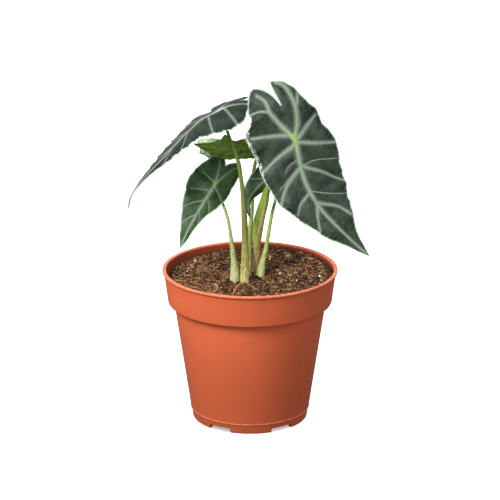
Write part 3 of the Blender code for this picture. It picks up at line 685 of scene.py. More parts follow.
class Blade:
    """Carries points of a flat leaf into space."""

    def __init__(self, name):
        self.leaf = LEAVES[name]
        knots = np.array(self.leaf["spine"], dtype=float)
        knots[:, 2] += SOIL_TOP
        behind = knots[0] - knots[1]
        start = knots[0] + behind / np.linalg.norm(behind) * SPINE_RUN_OUT
        self.fine = smooth_curve(np.vstack([start, knots]), 400)
        self.along = path_lengths(self.fine)
        joint = np.argmin(np.linalg.norm(self.fine - knots[self.leaf["joint"]], axis=1))
        self.along -= self.along[joint]
        self.length = self.along[-1]
        self.outlines = {}
        for sign, edge_name in ((1, "left_edge"), (-1, "right_edge")):
            edge = [*self.leaf[edge_name], (self.length, 0.0)]
            outline = smooth_curve(edge, 400)
            outline[:, 0] = np.maximum.accumulate(outline[:, 0])
            self.outlines[sign] = outline

    def spine_at(self, distance):
        """Points of the spine at some distances from the joint."""
        return np.stack([np.interp(distance, self.along, column) for column in self.fine.T],
                        axis=-1)

    def frame_at(self, distance):
        """Spine point, left side and upper normal at some distances from the joint."""
        forward = unit(self.spine_at(distance + 2.0) - self.spine_at(distance - 2.0))
        share = np.clip(distance / self.length, 0.0, 1.0)[..., None]
        near, far = (np.array(row) for row in self.leaf["facing"])
        normal = near * (1 - share) + far * share
        normal = unit(normal - forward * (normal * forward).sum(-1, keepdims=True))
        return self.spine_at(distance), np.cross(normal, forward), normal

    def width_at(self, distance, sign):
        """Half width of the blade on one side."""
        outline = self.outlines[sign]
        return np.maximum(np.interp(distance, outline[:, 0], outline[:, 1]), 0.0)

    def bend(self, distance, across, lift=0.0):
        """Places of flat points, raised by lift along the upper normal, and their normals."""
        here, left, normal = self.frame_at(distance)
        share = distance / self.length
        left_stops = self.leaf["fold"]
        right_stops = self.leaf.get("right_fold", left_stops)
        fold = np.radians(np.where(across < 0.0, np.interp(share, *zip(*right_stops)),
                                   np.interp(share, *zip(*left_stops))))
        widest = max(width for edge in ("left_edge", "right_edge")
                     for _, width in self.leaf[edge])
        phase = np.where(across > 0.0, 0.0, 2.0)
        turns = self.leaf["waves"] * math.tau * distance / self.length
        wave = self.leaf["ripple"] * np.sin(turns + phase) * (np.abs(across) / widest) ** 2
        crease = np.sqrt(across ** 2 + 0.6) - 0.6 ** 0.5
        height = -crease * np.sin(fold) + wave + lift
        point = here + left * (across * np.cos(fold))[..., None] + normal * height[..., None]
        tilt = np.tanh(across / 1.5) * np.sin(fold)
        return point, unit(normal + left * tilt[..., None])


def segment_reach(flat, start, end):
    """Distance of flat points from a straight piece, and how far along it the nearest place is."""
    step = end - start
    share = np.clip(((flat - start) @ step) / max(step @ step, 1e-9), 0.0, 1.0)
    return np.linalg.norm(flat - start - share[:, None] * step, axis=1), share


def path_gaps(flat, paths, scale):
    """For flat points: millimetres to the nearest vein's edge, the same as a share of how far
    that vein's edge fades, and the half widths to the middle of one of the three main ribs."""
    gap, fade, middle = np.full((3, len(flat)), 1e3)
    for order, (start_width, end_width, points) in enumerate(paths):
        line = smooth_curve(points, max(int(path_lengths(np.array(points, float))[-1] / 2), 3))
        for index in range(len(line) - 1):
            reach, share = segment_reach(flat, line[index], line[index + 1])
            place = (index + share) / (len(line) - 1)
            width = scale * (start_width + (end_width - start_width) * place)
            gap = np.minimum(gap, reach - width)
            fade = np.minimum(fade, (reach - width) / (0.3 + 1.6 * width))
            if order < MAIN_RIBS:
                middle = np.minimum(middle, reach / width)
    return gap, fade, middle


def flat_blade(blade, pitch, scallop):
    """Flat grid points of both halves of a blade, welded along the spine, and their faces."""
    notch = blade.leaf["notch"]
    body_rows = np.linspace(notch, blade.length, int((blade.length - notch) / pitch) + 1)
    flats, faces = [], []
    start = 0
    for sign, edge_name in ((1, "left_edge"), (-1, "right_edge")):
        lobe_end, lobe_width = blade.leaf[edge_name][0]
        rows = int((notch - lobe_end) / pitch) + 2
        lobe_rows = lobe_end + (notch - lobe_end) * np.linspace(0, 1, rows)[:-1] ** 1.5
        stations = np.concatenate([lobe_rows, body_rows])
        outer = blade.width_at(stations, sign)
        bays = np.sin(stations * 0.42 + sign) + 0.5 * np.sin(stations * 0.93 + 2.0 * sign)
        outer = outer + scallop * bays * smooth_step(outer, 5.0, 16.0)
        depth = np.clip((notch - stations) / (notch - lobe_end), 0.0, 1.0)
        curve = blade.leaf.get("right_sinus", SINUS_CURVE) if sign < 0 else SINUS_CURVE
        inner = lobe_width * depth ** curve
        columns = int(max(width for _, width in blade.leaf[edge_name]) / pitch) + 1
        share = np.linspace(0.0, 1.0, columns)
        across = inner[:, None] + np.maximum(outer - inner, 0.0)[:, None] * share
        flats.append(np.stack([np.broadcast_to(stations[:, None], across.shape),
                               sign * across], axis=-1).reshape(-1, 2))
        grid = grid_faces(len(stations), columns, start)
        faces.append(grid if sign > 0 else grid[:, ::-1])
        start += len(stations) * columns
    flat = np.vstack(flats)
    _, first, place = np.unique(np.round(flat, 4), axis=0, return_index=True,
                                return_inverse=True)
    merged = place.ravel()[np.vstack(faces)]
    kept = []
    for face in merged.tolist():
        corners = list(dict.fromkeys(face))
        if len(corners) > 2:
            kept.append(corners)
    return flat[first], kept


def rim_edges(faces):
    """Directed edges that only one face has."""
    edges = {}
    for face in faces:
        for corner, after in zip(face, face[1:] + face[:1]):
            edges[(corner, after)] = True
    return [edge for edge in edges if (edge[1], edge[0]) not in edges]


def blade_lift(blade, sizes, flat, gap, margin):
    """How far the upper face stands off the plain blade, and where a rolled margin shows pale."""
    along, across = flat.T
    size = blade.length / USUAL_LENGTH
    inland = smooth_step(margin, 0.0, 5.0 * size)
    panels = sizes.quilting / MM * size ** 0.5 * (1.0 - np.exp(-np.maximum(gap, 0.0) / 3.0))
    frill = sizes.frill / MM * size ** 0.5 * (1.0 - smooth_step(margin, 0.0, 4.0 * size))
    frill *= smooth_step(np.abs(across), 2.0, 10.0)
    frill *= np.sin(along * 0.9 / size ** 0.5 + np.sign(across)) \
        + 0.6 * np.sin(along * 2.3 / size ** 0.5 + 1.3)
    lumps = 0.35 * size * rough_field(np.column_stack([flat, np.zeros(len(flat))]), 9.0, size)
    lift = panels * inland + frill + lumps
    pale = np.zeros(len(flat))
    for side, (low, high), width, drop in blade.leaf.get("curls", ()):
        zone = smooth_step(along, low - 1, low + 7) * (1 - smooth_step(along, high - 7, high + 1))
        zone *= across * side > 0
        roll = zone * np.clip(1.0 - margin / width, 0.0, 1.0)
        lift = lift - drop * roll ** 2
        pale = np.maximum(pale, smooth_step(roll, 0.35, 0.75))
    return lift, pale


def build_blade(name, sizes, finishes):
    """One leaf: two faces with raised ribs and quilted panels, joined by a thin rim."""
    blade = Blade(name)
    flat, faces = flat_blade(blade, sizes.blade_pitch / MM, sizes.scallop / MM)
    rim = rim_edges(faces)
    scale = sizes.vein_width * (0.8 if name == "low" else 1.0)
    gap, fade, middle = path_gaps(flat, VEINS[name], scale)
    margin = np.full(len(flat), 1e3)
    for start, end in rim:
        margin = np.minimum(margin, segment_reach(flat, flat[start], flat[end])[0])
    lift, pale = blade_lift(blade, sizes, flat, gap, margin)
    along, across = flat.T
    size = blade.length / USUAL_LENGTH
    inland = smooth_step(margin, 0.0, 5.0 * size)
    top, normal = blade.bend(along, across, lift)
    half = sizes.blade_thickness / MM / 2
    half = half * (0.45 + 0.55 * smooth_step(margin, 0.0, 2.5))
    drip = smooth_step(along, blade.length - 14.0, blade.length - 3.0)
    half = np.maximum(half, 0.42 * drip)
    rib = 0.35 * size * np.exp(-np.maximum(gap, 0.0) * 1.2) * inland * sizes.rib_height / MM
    upper = top + normal * half[:, None]
    lower = top - normal * (half + rib)[:, None]
    count = len(flat)
    points = np.vstack([upper, lower])
    under_faces = [[corner + count for corner in reversed(face)] for face in faces]
    rim_faces = [[b, a, a + count, b + count] for a, b in rim]
    kinds = [0] * len(faces) + [1] * len(under_faces) + [2] * len(rim_faces)
    dry = smooth_step(along, blade.length - 4.0, blade.length - 2.2) * (name == "left")
    fields = {"flat": np.column_stack([flat + 50.0, np.zeros(count)]), "vein_gap": gap,
              "vein_fade": fade, "vein_core": middle, "margin": margin + 2.0 * drip,
              "joint": np.hypot(along, across) / size ** 0.7, "pale": pale, "dry": dry}
    fields = {label: np.concatenate([values, values]) for label, values in fields.items()}
    piece = add_piece(name + "_blade", points, faces + under_faces + rim_faces, finishes,
                      fields, kinds, sharp=50.0)
    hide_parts(name + "_leaf")
    return piece


# ---------------------------------------------------------------- the stems

def stem_path(name):
    """Stem centre line and radius from below the soil to the leaf's lower face."""
    path = np.array(STEMS[name], dtype=float)
    below = path[0] * [1, 1, 0, 0.9] + [0, 0, -STEM_DEPTH, 0]
    path = np.vstack([below, path])
    path[:, 2] += SOIL_TOP
    here, _, normal = Blade(name).frame_at(np.array(0.0))
    radius = path[-1, 3]
    approach = here - normal * 4.5
    joint = here - normal * 0.55
    path = np.vstack([path, [*approach, radius], [*joint, radius * 1.1]])
    return smooth_curve(path, 130)


def build_stem(name, sizes, finish):
    """A stalk with shallow ribs, a swollen base and its own tint at each height."""
    path = stem_path(name)
    sides = 28
    seed = list(STEMS).index(name)

    def ribs(angle, share):
        fine = 0.018 * np.cos(9 * angle + seed) + 0.012 * np.cos(14 * angle + 5 * share)
        return 1.0 + sizes.stem_ribs * (fine + 0.03 * np.cos(2 * angle + seed + 2 * share))

    rings = tube_rings(path[:, :3], path[:, 3], sides, ribs)
    points, faces = closed_tube(rings)
    height = points[:, 2] - SOIL_TOP
    levels, tints = zip(*STEM_TINTS[name])
    tint = np.stack([np.interp(height, levels, part) for part in zip(*tints)], axis=-1)
    mottle = np.interp(height, *zip(*STEM_MOTTLE[name]))
    chalk = 1.0 - smooth_step(height, 2.0, 16.0)
    fields = {"tint": tint, "mottle": mottle, "chalk": chalk}
    piece = add_piece(name + "_stalk", points, faces, [finish], fields, sharp=60.0)
    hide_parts(name + "_stem")
    return piece


# Tints by height over the soil, and how strongly brown mottling shows there.
STEM_TINTS = {
    "left": [(0, (0.47, 0.43, 0.155)), (12, (0.33, 0.31, 0.09)), (35, (0.155, 0.16, 0.034)),
             (60, (0.125, 0.15, 0.028)), (85, (0.095, 0.17, 0.02)), (110, (0.09, 0.17, 0.022))],
    "low": [(0, (0.42, 0.42, 0.20)), (12, (0.30, 0.34, 0.12)), (30, (0.20, 0.28, 0.08)),
            (50, (0.15, 0.24, 0.05)), (70, (0.14, 0.23, 0.05))],
    "right": [(0, (0.42, 0.36, 0.12)), (15, (0.40, 0.36, 0.12)), (38, (0.37, 0.37, 0.12)),
              (55, (0.24, 0.28, 0.06)), (75, (0.15, 0.22, 0.035)), (105, (0.16, 0.28, 0.05))],
    "small": [(0, (0.55, 0.55, 0.24)), (12, (0.40, 0.46, 0.15)), (28, (0.28, 0.38, 0.09)),
              (50, (0.19, 0.30, 0.05)), (80, (0.17, 0.28, 0.05))],
    "olive": [(0, (0.33, 0.30, 0.10)), (20, (0.22, 0.25, 0.06)), (48, (0.17, 0.26, 0.045)),
              (70, (0.20, 0.36, 0.06)), (90, (0.23, 0.42, 0.075))],
    "back": [(0, (0.40, 0.42, 0.15)), (30, (0.20, 0.32, 0.07)), (50, (0.10, 0.17, 0.03)),
             (90, (0.08, 0.14, 0.03))],
}
STEM_MOTTLE = {
    "left": [(0, 0.7), (20, 0.85), (60, 0.6), (80, 0.2)],
    "low": [(0, 0.25), (12, 0.55), (40, 0.75), (50, 0.5)],
    "right": [(0, 0.8), (25, 0.65), (60, 0.3), (80, 0.1)],
    "small": [(0, 0.25), (12, 0.5), (40, 0.6), (60, 0.3)],
    "olive": [(0, 0.7), (30, 0.4), (50, 0.2)],
    "back": [(0, 0.4), (30, 0.3), (50, 0.2)],
}


def ribbon(path, widths, facing, thickness, cup=0.25, columns=7):
    """Points and faces of a thin closed strip along a path, cupped across its width."""
    path = np.asarray(path, dtype=float)
    widths = np.asarray(widths, dtype=float)
    ahead = unit(np.gradient(path, axis=0))
    facing = unit(np.broadcast_to(np.asarray(facing, dtype=float), path.shape))
    sideways = unit(np.cross(ahead, facing))
    out = np.cross(sideways, ahead)
    share = np.linspace(-1.0, 1.0, columns)
    middle = path[:, None] + sideways[:, None] * (widths[:, None] * share)[..., None] \
        + out[:, None] * (cup * widths[:, None] * (share ** 2 - 1.0))[..., None]
    skin = thickness / 2 * np.sqrt(np.maximum(1.0 - share ** 4, 0.04))
    layers = [middle + out[:, None] * skin[None, :, None],
              middle - out[:, None] * skin[None, :, None]]
    rows = len(path)
    loop = np.concatenate([layers[0], layers[1][:, ::-1]], axis=1)
    faces = [tuple(face) for face in grid_faces(rows, 2 * columns, around=True)]
    faces.append(tuple(range(2 * columns))[::-1])
    faces.append(tuple(range((rows - 1) * 2 * columns, rows * 2 * columns)))
    flat = np.stack([np.broadcast_to(path_lengths(path)[:, None], (rows, 2 * columns)),
                     np.broadcast_to(np.concatenate([share, share[::-1]]), (rows, 2 * columns)),
                     np.zeros((rows, 2 * columns))], axis=-1)
    return loop.reshape(-1, 3), faces, flat.reshape(-1, 3)


def beside_stem(name, heights, turn, clear):
    """Points beside a stem at some heights over the soil, turned from the front."""
    path = stem_path(name)
    angle = math.radians(turn - 90.0)
    direction = np.array([math.cos(angle), math.sin(angle), 0.0])
    rows = []
    for height, gap in zip(heights, clear):
        row = np.array([np.interp(SOIL_TOP + height, path[:, 2], column) for column in path.T])
        rows.append(row[:3] + direction * (row[3] + gap))
    return np.array(rows)


# ---------------------------------------------------------------- the soil

def bed_height(x, y):
    """Height of the soil's surface: highest at the back right, mounded round the plant."""
    reach = np.hypot(x, y)
    slope = 2.6 * x / RIM_RADIUS + 3.0 * y / RIM_RADIUS
    mound = 1.1 * np.exp(-(reach / 20.0) ** 2)
    spots = np.column_stack([x, y, np.full(len(x), 3.0)])
    lumps = 0.7 * rough_field(spots, 1 / 0.09)
    crumble = 0.55 * rough_field(spots, 3.4, 1.0) + 0.38 * rough_field(spots, 1.5, 2.0)
    return SOIL_TOP - 1.1 + slope + mound + lumps + crumble


def wall_inside(height):
    """Inner radius of the pot's collar at a height."""
    below_lip = POT_HEIGHT - LIP_HEIGHT - height
    return RIM_RADIUS - COLLAR_INSET - COLLAR_TAPER * below_lip / (COLLAR_HEIGHT - LIP_HEIGHT)


def bit_shape(kind):
    """Corner points and triangles of a rounded bit, with 12 or 42 corners."""
    shape = bmesh.new()
    bmesh.ops.create_icosphere(shape, subdivisions=kind, radius=1.0)
    points = np.array([corner.co[:] for corner in shape.verts])
    faces = np.array([[corner.index for corner in face.verts] for face in shape.faces])
    shape.free()
    return points, faces


def random_turns(rng, count):
    """Random rotation matrices."""
    w, x, y, z = unit(rng.normal(size=(count, 4))).T
    return np.stack([1 - 2 * (y * y + z * z), 2 * (x * y - z * w), 2 * (x * z + y * w),
                     2 * (x * y + z * w), 1 - 2 * (x * x + z * z), 2 * (y * z - x * w),
                     2 * (x * z - y * w), 2 * (y * z + x * w), 1 - 2 * (x * x + y * y)],
                    axis=-1).reshape(-1, 3, 3)


def scatter_spots(rng, count, inset=1.0):
    """Random places over the soil that stay off the stems."""
    angle = rng.uniform(0, math.tau, count * 2)
    edge = wall_inside(SOIL_TOP) - inset
    reach = edge * np.sqrt(rng.uniform(0, 1, count * 2))
    x, y = reach * np.cos(angle), reach * np.sin(angle)
    free = np.ones(len(x), dtype=bool)
    for path in STEMS.values():
        free &= np.hypot(x - path[0][0], y - path[0][1]) > path[0][3] - 0.4
    return x[free][:count], y[free][:count]


def scatter_bits(rng, x, y, sizes, stretch, kind, roughness, sink=0.25):
    """Points, faces and per-bit index of irregular bits resting on the soil."""
    shape, triangles = bit_shape(kind)
    count = len(x)
    turns = random_turns(rng, count)
    scale = sizes[:, None] * (1 + rng.uniform(-stretch, stretch, (count, 3)))
    dented = shape[None] * (1 + rng.uniform(-roughness, roughness, (count, len(shape), 1)))
    points = np.einsum("nij,nkj->nki", turns, dented * scale[:, None])
    centre = np.column_stack([x, y, bed_height(x, y) + sizes * (0.5 - sink)])
    points = (points + centre[:, None]).reshape(-1, 3)
    faces = triangles[None] + (np.arange(count) * len(shape))[:, None, None]
    return points, faces.reshape(-1, 3), np.repeat(np.arange(count), len(shape))


def pick_tints(rng, palette, weights, count):
    """A tint for each of count bits, from a weighted palette, varied a little."""
    chosen = np.array(palette)[rng.choice(len(palette), count, p=np.array(weights))]
    return chosen * rng.uniform(0.55, 1.45, (count, 1))


# ---------------------------------------------------------------- sizes and colours

def length(name, text, value):
    """A length property in metres with a millimetre default."""
    return FloatProperty(name=name, description=text, default=value * MM, min=0.0,
                         precision=5, unit="LENGTH")


def colour(name, text, value):
    """A colour property."""
    return FloatVectorProperty(name=name, description=text, default=value, size=3,
                               subtype="COLOR", min=0.0, max=1.0)


class PotSizes(bpy.types.PropertyGroup):
    """Sizes and colours of the nursery pot."""
    wall: length("Wall", "Thickness of the moulded wall", 1.3)
    lip_round: length("Lip rounding", "Rounding of the rolled lip", 0.55)
    corner_round: length("Collar rounding", "Rounding under the collar", 1.1)
    seam_bead: length("Seam bead", "How far the moulding line stands out", 0.22)
    clay: colour("Terracotta", "Main colour of the plastic", (0.465, 0.092, 0.035))
    # The pale colour serves the fine specks and the seam's moulding flash, and the painted
    # highlight on the lip.
    worn: colour("Pale seam and painted lip highlight", "Paler colour on the lip and seam", (0.64, 0.22, 0.12))
    # A darker copy of the terracotta, painted as the shade inside the pot.
    inside: colour("Inside", "Colour of the inner wall", (0.215, 0.037, 0.014))


class PlantSizes(bpy.types.PropertyGroup):
    """Sizes and colours of the leaves and stems."""
    blade_pitch: length("Blade grid", "Spacing of the points of a leaf", 0.5)
    blade_thickness: length("Blade thickness", "Thickness of a leaf between its veins", 0.5)
    quilting: length("Quilting", "How far the panels between the veins stand up", 1.2)
    frill: length("Frill", "Height of the small waves along the margin", 0.38)
    rib_height: length("Rib height", "How far the ribs stand out below", 1.2)
    vein_width: FloatProperty(name="Vein width", description="Scales the width of the veins",
                              default=0.76, min=0.1, max=2.0)
    scallop: length("Scallop", "Depth of the shallow scallops along a margin", 0.3)
    vein_feather: FloatProperty(name="Vein feather", description="Raggedness of vein edges",
                                default=1.0, min=0.0, max=3.0)
    stem_ribs: FloatProperty(name="Stem ribs", description="Strength of the ribs on the stems",
                             default=1.0, min=0.0, max=4.0)
    blade: colour("Blade", "Dark green of the mature leaves", (0.0075, 0.0165, 0.0078))
    young: colour("Young blade", "Fresher green of the smaller leaves", (0.0130, 0.0430, 0.0075))
    silver: colour("Veins", "Silver green of the veins", (0.195, 0.250, 0.192))
    fresh: colour("Vein heart", "Light green where the veins meet", (0.16, 0.27, 0.085))
    under: colour("Underside", "Olive green of the lower face", (0.175, 0.330, 0.040))
    purple: colour("Underside mottling", "Purple brown of the lower face", (0.100, 0.080, 0.024))
    brown: colour("Stem mottling", "Brown flecks on the stems", (0.13, 0.09, 0.035))


class MixSizes(bpy.types.PropertyGroup):
    """Amounts and colours of the potting mix."""
    seed: IntProperty(name="Seed", description="Picks another scatter of crumbs", default=7)
    crumbs: IntProperty(name="Fine crumbs", description="Number of fine crumbs", default=7000,
                        min=0)
    lumps: IntProperty(name="Lumps", description="Number of larger lumps", default=1500, min=0)
    fibres: IntProperty(name="Fibres", description="Number of loose fibres", default=2900, min=0)
    grains: IntProperty(name="Perlite", description="Number of white grains", default=46, min=0)
    crumb_size: length("Crumb size", "Typical radius of a fine crumb", 0.50)
    dark: colour("Dark mix", "Darkest crumbs", (0.030, 0.014, 0.008))
    middle: colour("Brown mix", "Most of the crumbs", (0.108, 0.044, 0.017))
    light: colour("Light fibre", "Palest fibres and chips", (0.40, 0.26, 0.13))


class StudioSizes(bpy.types.PropertyGroup):
    """Camera, floor and light."""
    elevation: FloatProperty(name="Elevation", description="Camera angle above the horizon",
                             default=math.radians(18.41), subtype="ANGLE")
    distance: FloatProperty(name="Distance", description="Camera distance from the pot's axis",
                            default=2.0, unit="LENGTH")
    lens: FloatProperty(name="Lens", description="Focal length on a 36 mm sensor, in mm",
                        default=211.1, min=1.0)
    key: FloatProperty(name="Key light", description="Power of the soft panel on the left",
                       default=13.5, min=0.0)
    front: FloatProperty(name="Front light", description="Power of the soft front panel",
                         default=5.5, min=0.0)
    board: FloatProperty(name="Board light", description="Strength of the light on the floor",
                         default=1.0, min=0.0)
    wash: FloatProperty(name="Board wash", description="Strength of the shadowless floor light",
                        default=3.0, min=0.0)
    floor: colour("Floor", "Colour of the seamless board", (0.90, 0.90, 0.90))


# ---------------------------------------------------------------- operators

def fillet_profile(corners, steps=5):
    """A profile of (radius, height, rounding) corners with the rounded ones eased."""
    points = []
    count = len(corners)
    for index, (radius, height, rounding) in enumerate(corners):
        here = np.array([radius, height], dtype=float)
        if rounding <= 0.0:
            points.append(here)
            continue
        arms = []
        for other in (corners[index - 1], corners[(index + 1) % count]):
            arm = np.array(other[:2]) - here
            reach = np.linalg.norm(arm)
            arms.append(here + arm / reach * min(rounding, reach * 0.5))
        for share in np.linspace(0.0, 1.0, steps):
            points.append((1 - share) ** 2 * arms[0] + 2 * share * (1 - share) * here
                          + share ** 2 * arms[1])
    return np.array(points)


class ALOCASIA_OT_pot(bpy.types.Operator):
    """Turn the nursery pot: lip, collar, tapering body, seam bead and slotted foot"""
    bl_idname = "alocasia.pot"
    bl_label = "Pot"
    bl_options = {"REGISTER", "UNDO"}

    def execute(self, context):
        sizes = context.scene.alocasia_pot
        wall = sizes.wall / MM
        bead = sizes.seam_bead / MM
        lip = sizes.lip_round / MM
        collar = sizes.corner_round / MM
        top = RIM_RADIUS - LIP_OVERHANG
        low_collar = POT_HEIGHT - COLLAR_HEIGHT
        body_top = top - COLLAR_TAPER - COLLAR_STEP

        def body(height):
            return body_top - (low_collar - height) * BODY_TAPER

        foot = body(0.0) - FOOT_WIDTH
        roof = CHANNEL_HEIGHT
        plate = body(roof) - wall - CHANNEL_WIDTH
        outer = [(0.0, 0.0, 0), (plate - 0.7, 0.0, 0.4), (plate + 1.3, roof, 0.5),
                 (foot - 0.4, roof, 0.5), (foot, 0.0, 0.4), (body(0.0) - 0.35, 0.0, 0.6),
                 (body(6.6) - 0.35, 6.6, 0.1), (body(6.9) + bead, 6.85, 0.1),
                 (body(7.3) + bead, 7.25, 0.1), (body(7.6), 7.6, 0.1)]
        for share in np.linspace(0.12, 0.94, 9):
            height = 7.6 + (low_collar - 7.6) * share
            outer.append((body(height), height, 0))
        outer += [(body(low_collar), low_collar, 0.7),
                  (top - COLLAR_TAPER, low_collar + 0.25, collar),
                  (top - 1.3, low_collar + 11.0, 0), (top, POT_HEIGHT - 2.1, 0.5),
                  (RIM_RADIUS, POT_HEIGHT - LIP_HEIGHT, lip), (RIM_RADIUS, POT_HEIGHT, lip)]
        inner = [(top - wall, POT_HEIGHT, 0.4), (top - wall - 0.2, POT_HEIGHT - 1.4, 0),
                 (top - COLLAR_TAPER - wall, low_collar + 2.0, 0.8),
                 (body(low_collar) - wall, low_collar - wall, 0.8),
                 (body(roof) - wall, roof + wall, 0.8), (plate, roof + wall, 0.5),
                 (plate - 2.0, wall, 0.5), (0.0, wall, 0)]
        profile = fillet_profile(outer + inner)
        split = int(np.argmin(np.hypot(profile[:, 0] - (RIM_RADIUS - 0.4),
                                       profile[:, 1] - POT_HEIGHT)))
        angles, opened = self.spread_angles()
        turned = []
        for angle, open_share in zip(angles, opened):
            height = np.maximum(profile[:, 1], 0.0)
            in_foot = (profile[:, 0] > foot - 0.45) & (profile[:, 1] < SLOT_HEIGHT)
            in_foot &= np.arange(len(profile)) < split
            height = np.where(in_foot, np.maximum(height, SLOT_HEIGHT * open_share), height)
            turned.append(np.column_stack([profile[:, 0] * math.cos(angle),
                                           profile[:, 0] * math.sin(angle), height]))
        turned = np.array(turned)
        columns, rows, _ = turned.shape
        points = turned.reshape(-1, 3)
        quads = []
        for column in range(columns):
            after = (column + 1) % columns
            for row in range(rows):
                above = (row + 1) % rows
                if profile[row][0] == 0.0 and profile[above][0] == 0.0:
                    continue
                quads.append((column * rows + row, after * rows + row,
                              after * rows + above, column * rows + above))
        # Inner faces: they take the painted shade colour and the soil dust.
        inner_face = np.tile((np.arange(rows) >= split + 3) & (profile[:, 1] < POT_HEIGHT - 0.5),
                        columns).astype(float)
        high = points[:, 2]
        # The pale band under the rim is a painted highlight on the lip; the seam line is pale
        # moulding flash.
        lip_highlight_and_seam = smooth_step(high, POT_HEIGHT - 0.9, POT_HEIGHT - 0.2) * 0.8
        lip_highlight_and_seam = np.maximum(lip_highlight_and_seam, (np.abs(high - SEAM_HEIGHT) < 0.35) * (1 - inner_face))
        dust = inner_face * (1 - smooth_step(high, SOIL_TOP - 5.0, SOIL_TOP + 3.0))
        finish = plastic_finish("terracotta plastic", sizes.clay, sizes.worn, sizes.inside)
        pot = add_piece("nursery_pot", points, quads, [finish],
                        {"lip_highlight_and_seam": lip_highlight_and_seam, "inner_face": inner_face, "dust": dust})
        tidy_mesh(pot)
        pot.data.shade_smooth()
        pot.data.set_sharp_from_angle(angle=math.radians(32.0))
        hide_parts("pot")
        return {"FINISHED"}

    def spread_angles(self):
        """Directions of the turned columns and how far the foot is open at each."""
        steps = list(np.linspace(0.0, 360.0, 288, endpoint=False))
        slots = [angle - 90.0 for angle in SLOT_ANGLES]
        half, ease = SLOT_SPAN / 2, 0.45
        for slot in slots:
            steps += [slot + side * (half + shift) for side in (-1, 1)
                      for shift in (-ease, -ease / 2, 0.0, ease / 2, ease)]
        steps = np.unique(np.round(np.mod(steps, 360.0), 4))
        opened = np.zeros(len(steps))
        for slot in slots:
            away = np.abs((steps - slot + 180.0) % 360.0 - 180.0)
            opened = np.maximum(opened, 1.0 - smooth_step(away, half - ease, half + ease))
        return np.radians(steps), opened


class ALOCASIA_OT_mix(bpy.types.Operator):
    """Fill the pot with potting mix: bed, crumbs, lumps, fibres and perlite"""
    bl_idname = "alocasia.mix"
    bl_label = "Potting mix"
    bl_options = {"REGISTER", "UNDO"}

    def execute(self, context):
        sizes = context.scene.alocasia_mix
        self.make_bed(sizes)
        rng = np.random.default_rng(sizes.seed)
        finish = crumb_finish("loose mix")
        brown = [sizes.dark, sizes.middle, finish_tint(sizes.middle, 1.7, 0.0), sizes.light]
        x, y = scatter_spots(rng, sizes.crumbs)
        radius = sizes.crumb_size / MM * rng.lognormal(0.0, 0.35, len(x))
        self.place("soil_crumbs", rng, x, y, radius, 0.45, 1, 0.22,
                   brown, (0.34, 0.38, 0.18, 0.10), finish)
        x, y = scatter_spots(rng, sizes.lumps, 1.6)
        radius = sizes.crumb_size / MM * 1.75 * rng.lognormal(0.0, 0.28, len(x))
        self.place("soil_lumps", rng, x, y, radius, 0.6, 2, 0.17,
                   brown, (0.42, 0.40, 0.14, 0.04), finish)
        x, y = scatter_spots(rng, sizes.grains, 3.0)
        radius = 0.75 * rng.lognormal(0.0, 0.35, len(x))
        white = crumb_finish("perlite", 0.8)
        self.place("perlite_grains", rng, x, y, radius, 0.3, 2, 0.16,
                   [(0.80, 0.78, 0.72), (0.62, 0.58, 0.50)], (0.6, 0.4), white)
        self.make_fibres(sizes, rng, finish)
        return {"FINISHED"}

    def place(self, name, rng, x, y, radius, stretch, kind, dents, palette, weights, finish):
        points, faces, owner = scatter_bits(rng, x, y, radius, stretch, kind, dents)
        tint = pick_tints(rng, palette, weights, len(x))[owner]
        add_piece(name, points, faces, [finish], {"tint": tint})

    def make_bed(self, sizes):
        """One closed body of mix with a crumbled top."""
        sides, rings = 360, 76
        edge = wall_inside(SOIL_TOP - 4.0) - 0.15
        angle = np.linspace(0.0, math.tau, sides, endpoint=False)
        reach = np.linspace(0.4, edge, rings)[::-1]
        x = (reach[:, None] * np.cos(angle)).ravel()
        y = (reach[:, None] * np.sin(angle)).ravel()
        top = np.column_stack([x, y, bed_height(x, y)]).reshape(rings, sides, 3)
        lower = []
        for radius, height in ((53.2, 83.5), (50.4, 80.5), (38.8, 7.5), (28.0, 7.0),
                               (26.0, 2.0), (0.5, 2.0)):
            lower.append(np.column_stack([radius * np.cos(angle), radius * np.sin(angle),
                                          np.full(sides, height)]))
        loops = np.concatenate([np.array(lower)[::-1], top])
        points, faces = closed_tube(loops)
        bed = add_piece("soil_bed", points, faces,
                        [mix_finish("potting mix", sizes.dark, sizes.middle)])
        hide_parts("soil", "crown")

    def make_fibres(self, sizes, rng, finish):
        """Short curved fibres strewn over the crumbs."""
        x, y = scatter_spots(rng, sizes.fibres, 4.0)
        points, faces, tints = [], [], []
        palette = pick_tints(rng, [sizes.light, finish_tint(sizes.middle, 1.8, 0.0), sizes.dark],
                             (0.45, 0.33, 0.22), len(x))
        height = bed_height(x, y)
        start = 0
        for index in range(len(x)):
            span = rng.uniform(1.6, 5.5) * (1.8 if index % 40 == 0 else 1.0)
            heading = rng.uniform(0, math.tau)
            bow = rng.uniform(-0.9, 0.9)
            share = np.linspace(-0.5, 0.5, 6)
            turn = heading + bow * share
            line = np.column_stack([
                x[index] + span * share * np.cos(turn), y[index] + span * share * np.sin(turn),
                height[index] + 0.45 + rng.uniform(0, 0.5) - 1.2 * share ** 2
                + rng.uniform(-0.5, 0.6) * share])
            thick = rng.uniform(0.12, 0.28) * (1.0 - 0.8 * share ** 2)
            rings = tube_rings(line, thick, 4)
            made, sides = closed_tube(rings)
            points.append(made)
            faces += [tuple(corner + start for corner in face) for face in sides]
            tints.append(np.repeat(palette[index][None], len(made), axis=0))
            start += len(made)
        add_piece("soil_fibres", np.vstack(points), faces, [finish],
                  {"tint": np.vstack(tints)})


